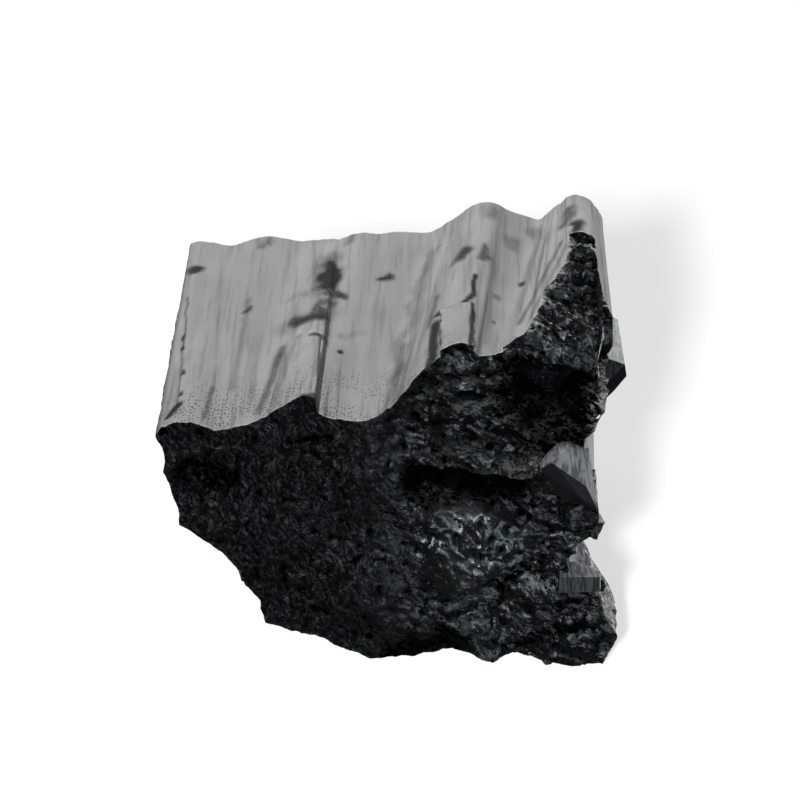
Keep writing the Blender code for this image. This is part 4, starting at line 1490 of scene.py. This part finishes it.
# %% [markdown]
# ## The small flat crystals
#
# The laths and blocks at the right are single clean faces. The ones that look up get a painted
# reflection as grey as the ribbed top, and the others stay nearly black, so the stored number
# mixes the two colours. Noise stretched along the faces draws faint lines on them.

# %% The facet material
# The pale colour is a painted reflection.
FACET_BLACK, FACET_SHEEN = (0.014, 0.0145, 0.0155, 1.0), (0.26, 0.264, 0.27, 1.0)
FACET_LINE = (0.012, 0.012, 0.0125, 1.0)
FACET_LINES = (3.2, 0.6, 0.5)  # how many of the noise's cells there are per mm along x, y and z
FACET_BUMP = 0.00007  # metres
FACET_SPECULAR = 0.4


def paint_facet():
    """Flat crystal faces inside the broken zone: smooth, faintly lined, with a painted reflection if they
    look up.
    """
    paint, shader = start_material("facet")
    place = millimetres(paint)
    lines = paint.noise(paint.vector("MULTIPLY", place, FACET_LINES))
    # A painted reflection on the faces that look up.
    colour = paint.mix(paint.stored("pale"), FACET_BLACK, FACET_SHEEN)
    colour = paint.mix(lines.clamped(0.42, 0.6) * 0.7, colour, FACET_LINE)
    rough = 0.3 + 0.2 * paint.noise(place, 0.5)
    bump = paint.node("Bump", None, Strength=1.0, Distance=FACET_BUMP, Height=lines)
    shader.inputs["Specular IOR Level"].default_value = FACET_SPECULAR
    feed(paint, shader, Base_Color=colour, Roughness=rough, Normal=bump)


paint_facet()

# %% [markdown]
# ## The studio
#
# The stone stands on a pale floor. The camera sees it as nearly white, but it is hidden from
# reflections and sends no bounced light to the stone, because both would turn the break grey.

# %% Floor
FLOOR_SIZE = 6.0  # metres
FLOOR_GREY, FLOOR_GLOW = (0.12, 0.12, 0.12, 1.0), 0.63  # what it reflects, and what it gives out
WHITE = (1.0, 1.0, 1.0, 1.0)


def make_floor():
    """A wide flat floor that glows, so that it is pale all over and still takes a shadow."""
    bm = bmesh.new()
    bmesh.ops.create_grid(bm, x_segments=1, y_segments=1, size=FLOOR_SIZE / 2)
    mesh = bpy.data.meshes.new("floor")
    bm.to_mesh(mesh)
    bm.free()
    floor = bpy.data.objects.new("floor", mesh)
    bpy.context.scene.collection.objects.link(floor)
    mesh.materials.append(bpy.data.materials.new("pale_floor"))
    shader = start_material("pale_floor")[1]
    shader.inputs["Base Color"].default_value = FLOOR_GREY
    shader.inputs["Roughness"].default_value = 1.0
    shader.inputs["Specular IOR Level"].default_value = 0.0
    shader.inputs["Emission Color"].default_value = WHITE
    shader.inputs["Emission Strength"].default_value = FLOOR_GLOW
    floor.visible_glossy = False
    floor.visible_diffuse = False
    floor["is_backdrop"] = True
    return floor


floor = make_floor()
print("floor:", FLOOR_SIZE, "m square")

# %% [markdown]
# Gloss is a picture of the surroundings, so the sky is drawn for what the stone should mirror:
# bright behind it for the level top, a weaker patch lower down for the faces that lean to the
# right, and dark towards the viewer, so that the break stays black. The camera itself sees plain
# white.

# %% Sky
# Bright patches: the way to the middle, the cosines from it where the patch starts and where it
# is full, and how bright it is.
SKY_BEHIND = ((-0.10, 0.83, 0.55), (0.5, 0.98), 3.3)
SKY_BELOW = ((0.25, 0.83, -0.5), (0.7, 0.98), 1.6)
SKY_DARK = 0.04


def light_sky():
    """A sky that is bright behind the stone and dark in front, and plain white to the camera."""
    world = bpy.data.worlds.new("studio")
    bpy.context.scene.world = world
    world.use_nodes = True
    tree = world.node_tree
    tree.nodes.clear()
    paint = Paint(tree)
    way = paint.node("TexCoord", None, give="Generated")
    glow = SKY_DARK
    for middle, fade, bright in (SKY_BEHIND, SKY_BELOW):
        patch = paint.vector("DOT_PRODUCT", way, middle, give="Value")
        glow = glow + patch.clamped(*fade) * bright
    dark = paint.node("Background", None, WHITE, glow)
    white = paint.node("Background", None, WHITE, 1.0)
    seen = paint.node("LightPath", None, give="Is Camera Ray")
    both = paint.node("MixShader", None, seen, dark, white)
    output = tree.nodes.new("ShaderNodeOutputWorld")
    tree.links.new(both.socket, output.inputs["Surface"])
    return len(tree.nodes)


print("nodes in the sky:", light_sky())

# %% [markdown]
# A cool key light from the front left draws the forms of the break, and two weaker ones glint on
# the facets that face them. One strong small lamp is linked to the floor alone: it throws the
# soft shadow behind the stone, to the right, and can be as bright as the shadow needs without
# whitening the stone.

# %% Lamps
# Each: azimuth in degrees (0 is behind the viewer, 90 to the right), elevation, distance and
# size in metres, power in watts, and colour.
LAMPS = {
    "shadow_light": (-15.0, 30.0, 0.9, 0.12, 50.0, (1.0, 1.0, 1.0)),
    "key_light": (-15.0, 30.0, 0.9, 0.3, 2.6, (0.82, 0.95, 1.0)),
    "front_light": (12.0, 40.0, 0.6, 0.35, 0.6, (0.74, 0.9, 1.0)),
    "low_light": (28.0, 4.0, 0.6, 0.3, 0.5, (0.74, 0.9, 1.0)),
}
STONE_MIDDLE = Vector((0.0, 0.0, 0.018))


def softbox(name, azimuth, elevation, distance, size, power, colour):
    """A square light that looks at the middle of the stone."""
    light = bpy.data.lights.new(name, "AREA")
    light.size = size
    light.energy = power
    light.color = colour
    lamp = bpy.data.objects.new(name, light)
    around, up = math.radians(azimuth), math.radians(elevation)
    away = Vector((math.sin(around) * math.cos(up), -math.cos(around) * math.cos(up), math.sin(up)))
    lamp.location = STONE_MIDDLE + away * distance
    lamp.rotation_euler = away.to_track_quat("Z", "Y").to_euler()
    bpy.context.scene.collection.objects.link(lamp)
    return lamp


lamps = {name: softbox(name, *settings) for name, settings in LAMPS.items()}
receivers = bpy.data.collections.new("floor_only")
receivers.objects.link(floor)
lamps["shadow_light"].light_linking.receiver_collection = receivers
print("lamps:", sorted(lamps))

# %% [markdown]
# A long lens keeps the ribs nearly parallel. The camera is placed by where it looks and from how
# far away, so those values can be changed one at a time.

# %% Camera
VIEW_AZIMUTH = math.radians(1.7)  # the camera stands this far round to the right
VIEW_PITCH = math.radians(34.2)  # and looks down by this much
VIEW_DISTANCE = 268.75  # in mm, from the target
VIEW_TARGET = (0.0, 0.0, TOP_HEIGHT)
LENS, SENSOR = 112.5, 36.0


def make_camera():
    """The camera, looking along the view angles at the target."""
    data = bpy.data.cameras.new("camera")
    data.lens = LENS
    data.sensor_width = SENSOR
    data.clip_start = 0.01
    camera = bpy.data.objects.new("camera", data)
    level = math.cos(VIEW_PITCH)
    look = Vector(
        (-math.sin(VIEW_AZIMUTH) * level, math.cos(VIEW_AZIMUTH) * level, -math.sin(VIEW_PITCH))
    )
    camera.location = placed(Vector(VIEW_TARGET) - look * VIEW_DISTANCE)
    camera.rotation_euler = look.to_track_quat("-Z", "Y").to_euler()
    bpy.context.scene.collection.objects.link(camera)
    bpy.context.scene.camera = camera
    return camera


print("camera at, in mm:", [round(v / MM, 1) for v in make_camera().location])
bpy.context.scene.view_settings.view_transform = "Standard"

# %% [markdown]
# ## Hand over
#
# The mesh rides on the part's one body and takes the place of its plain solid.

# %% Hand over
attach(stone, "root")
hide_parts("tourmaline_crystal")
visual_box = [list(corner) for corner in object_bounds()]
print("visual box in mm:", [[round(v * 1000, 2) for v in corner] for corner in visual_box])
print(f"made in {time.perf_counter() - started:.1f} s")
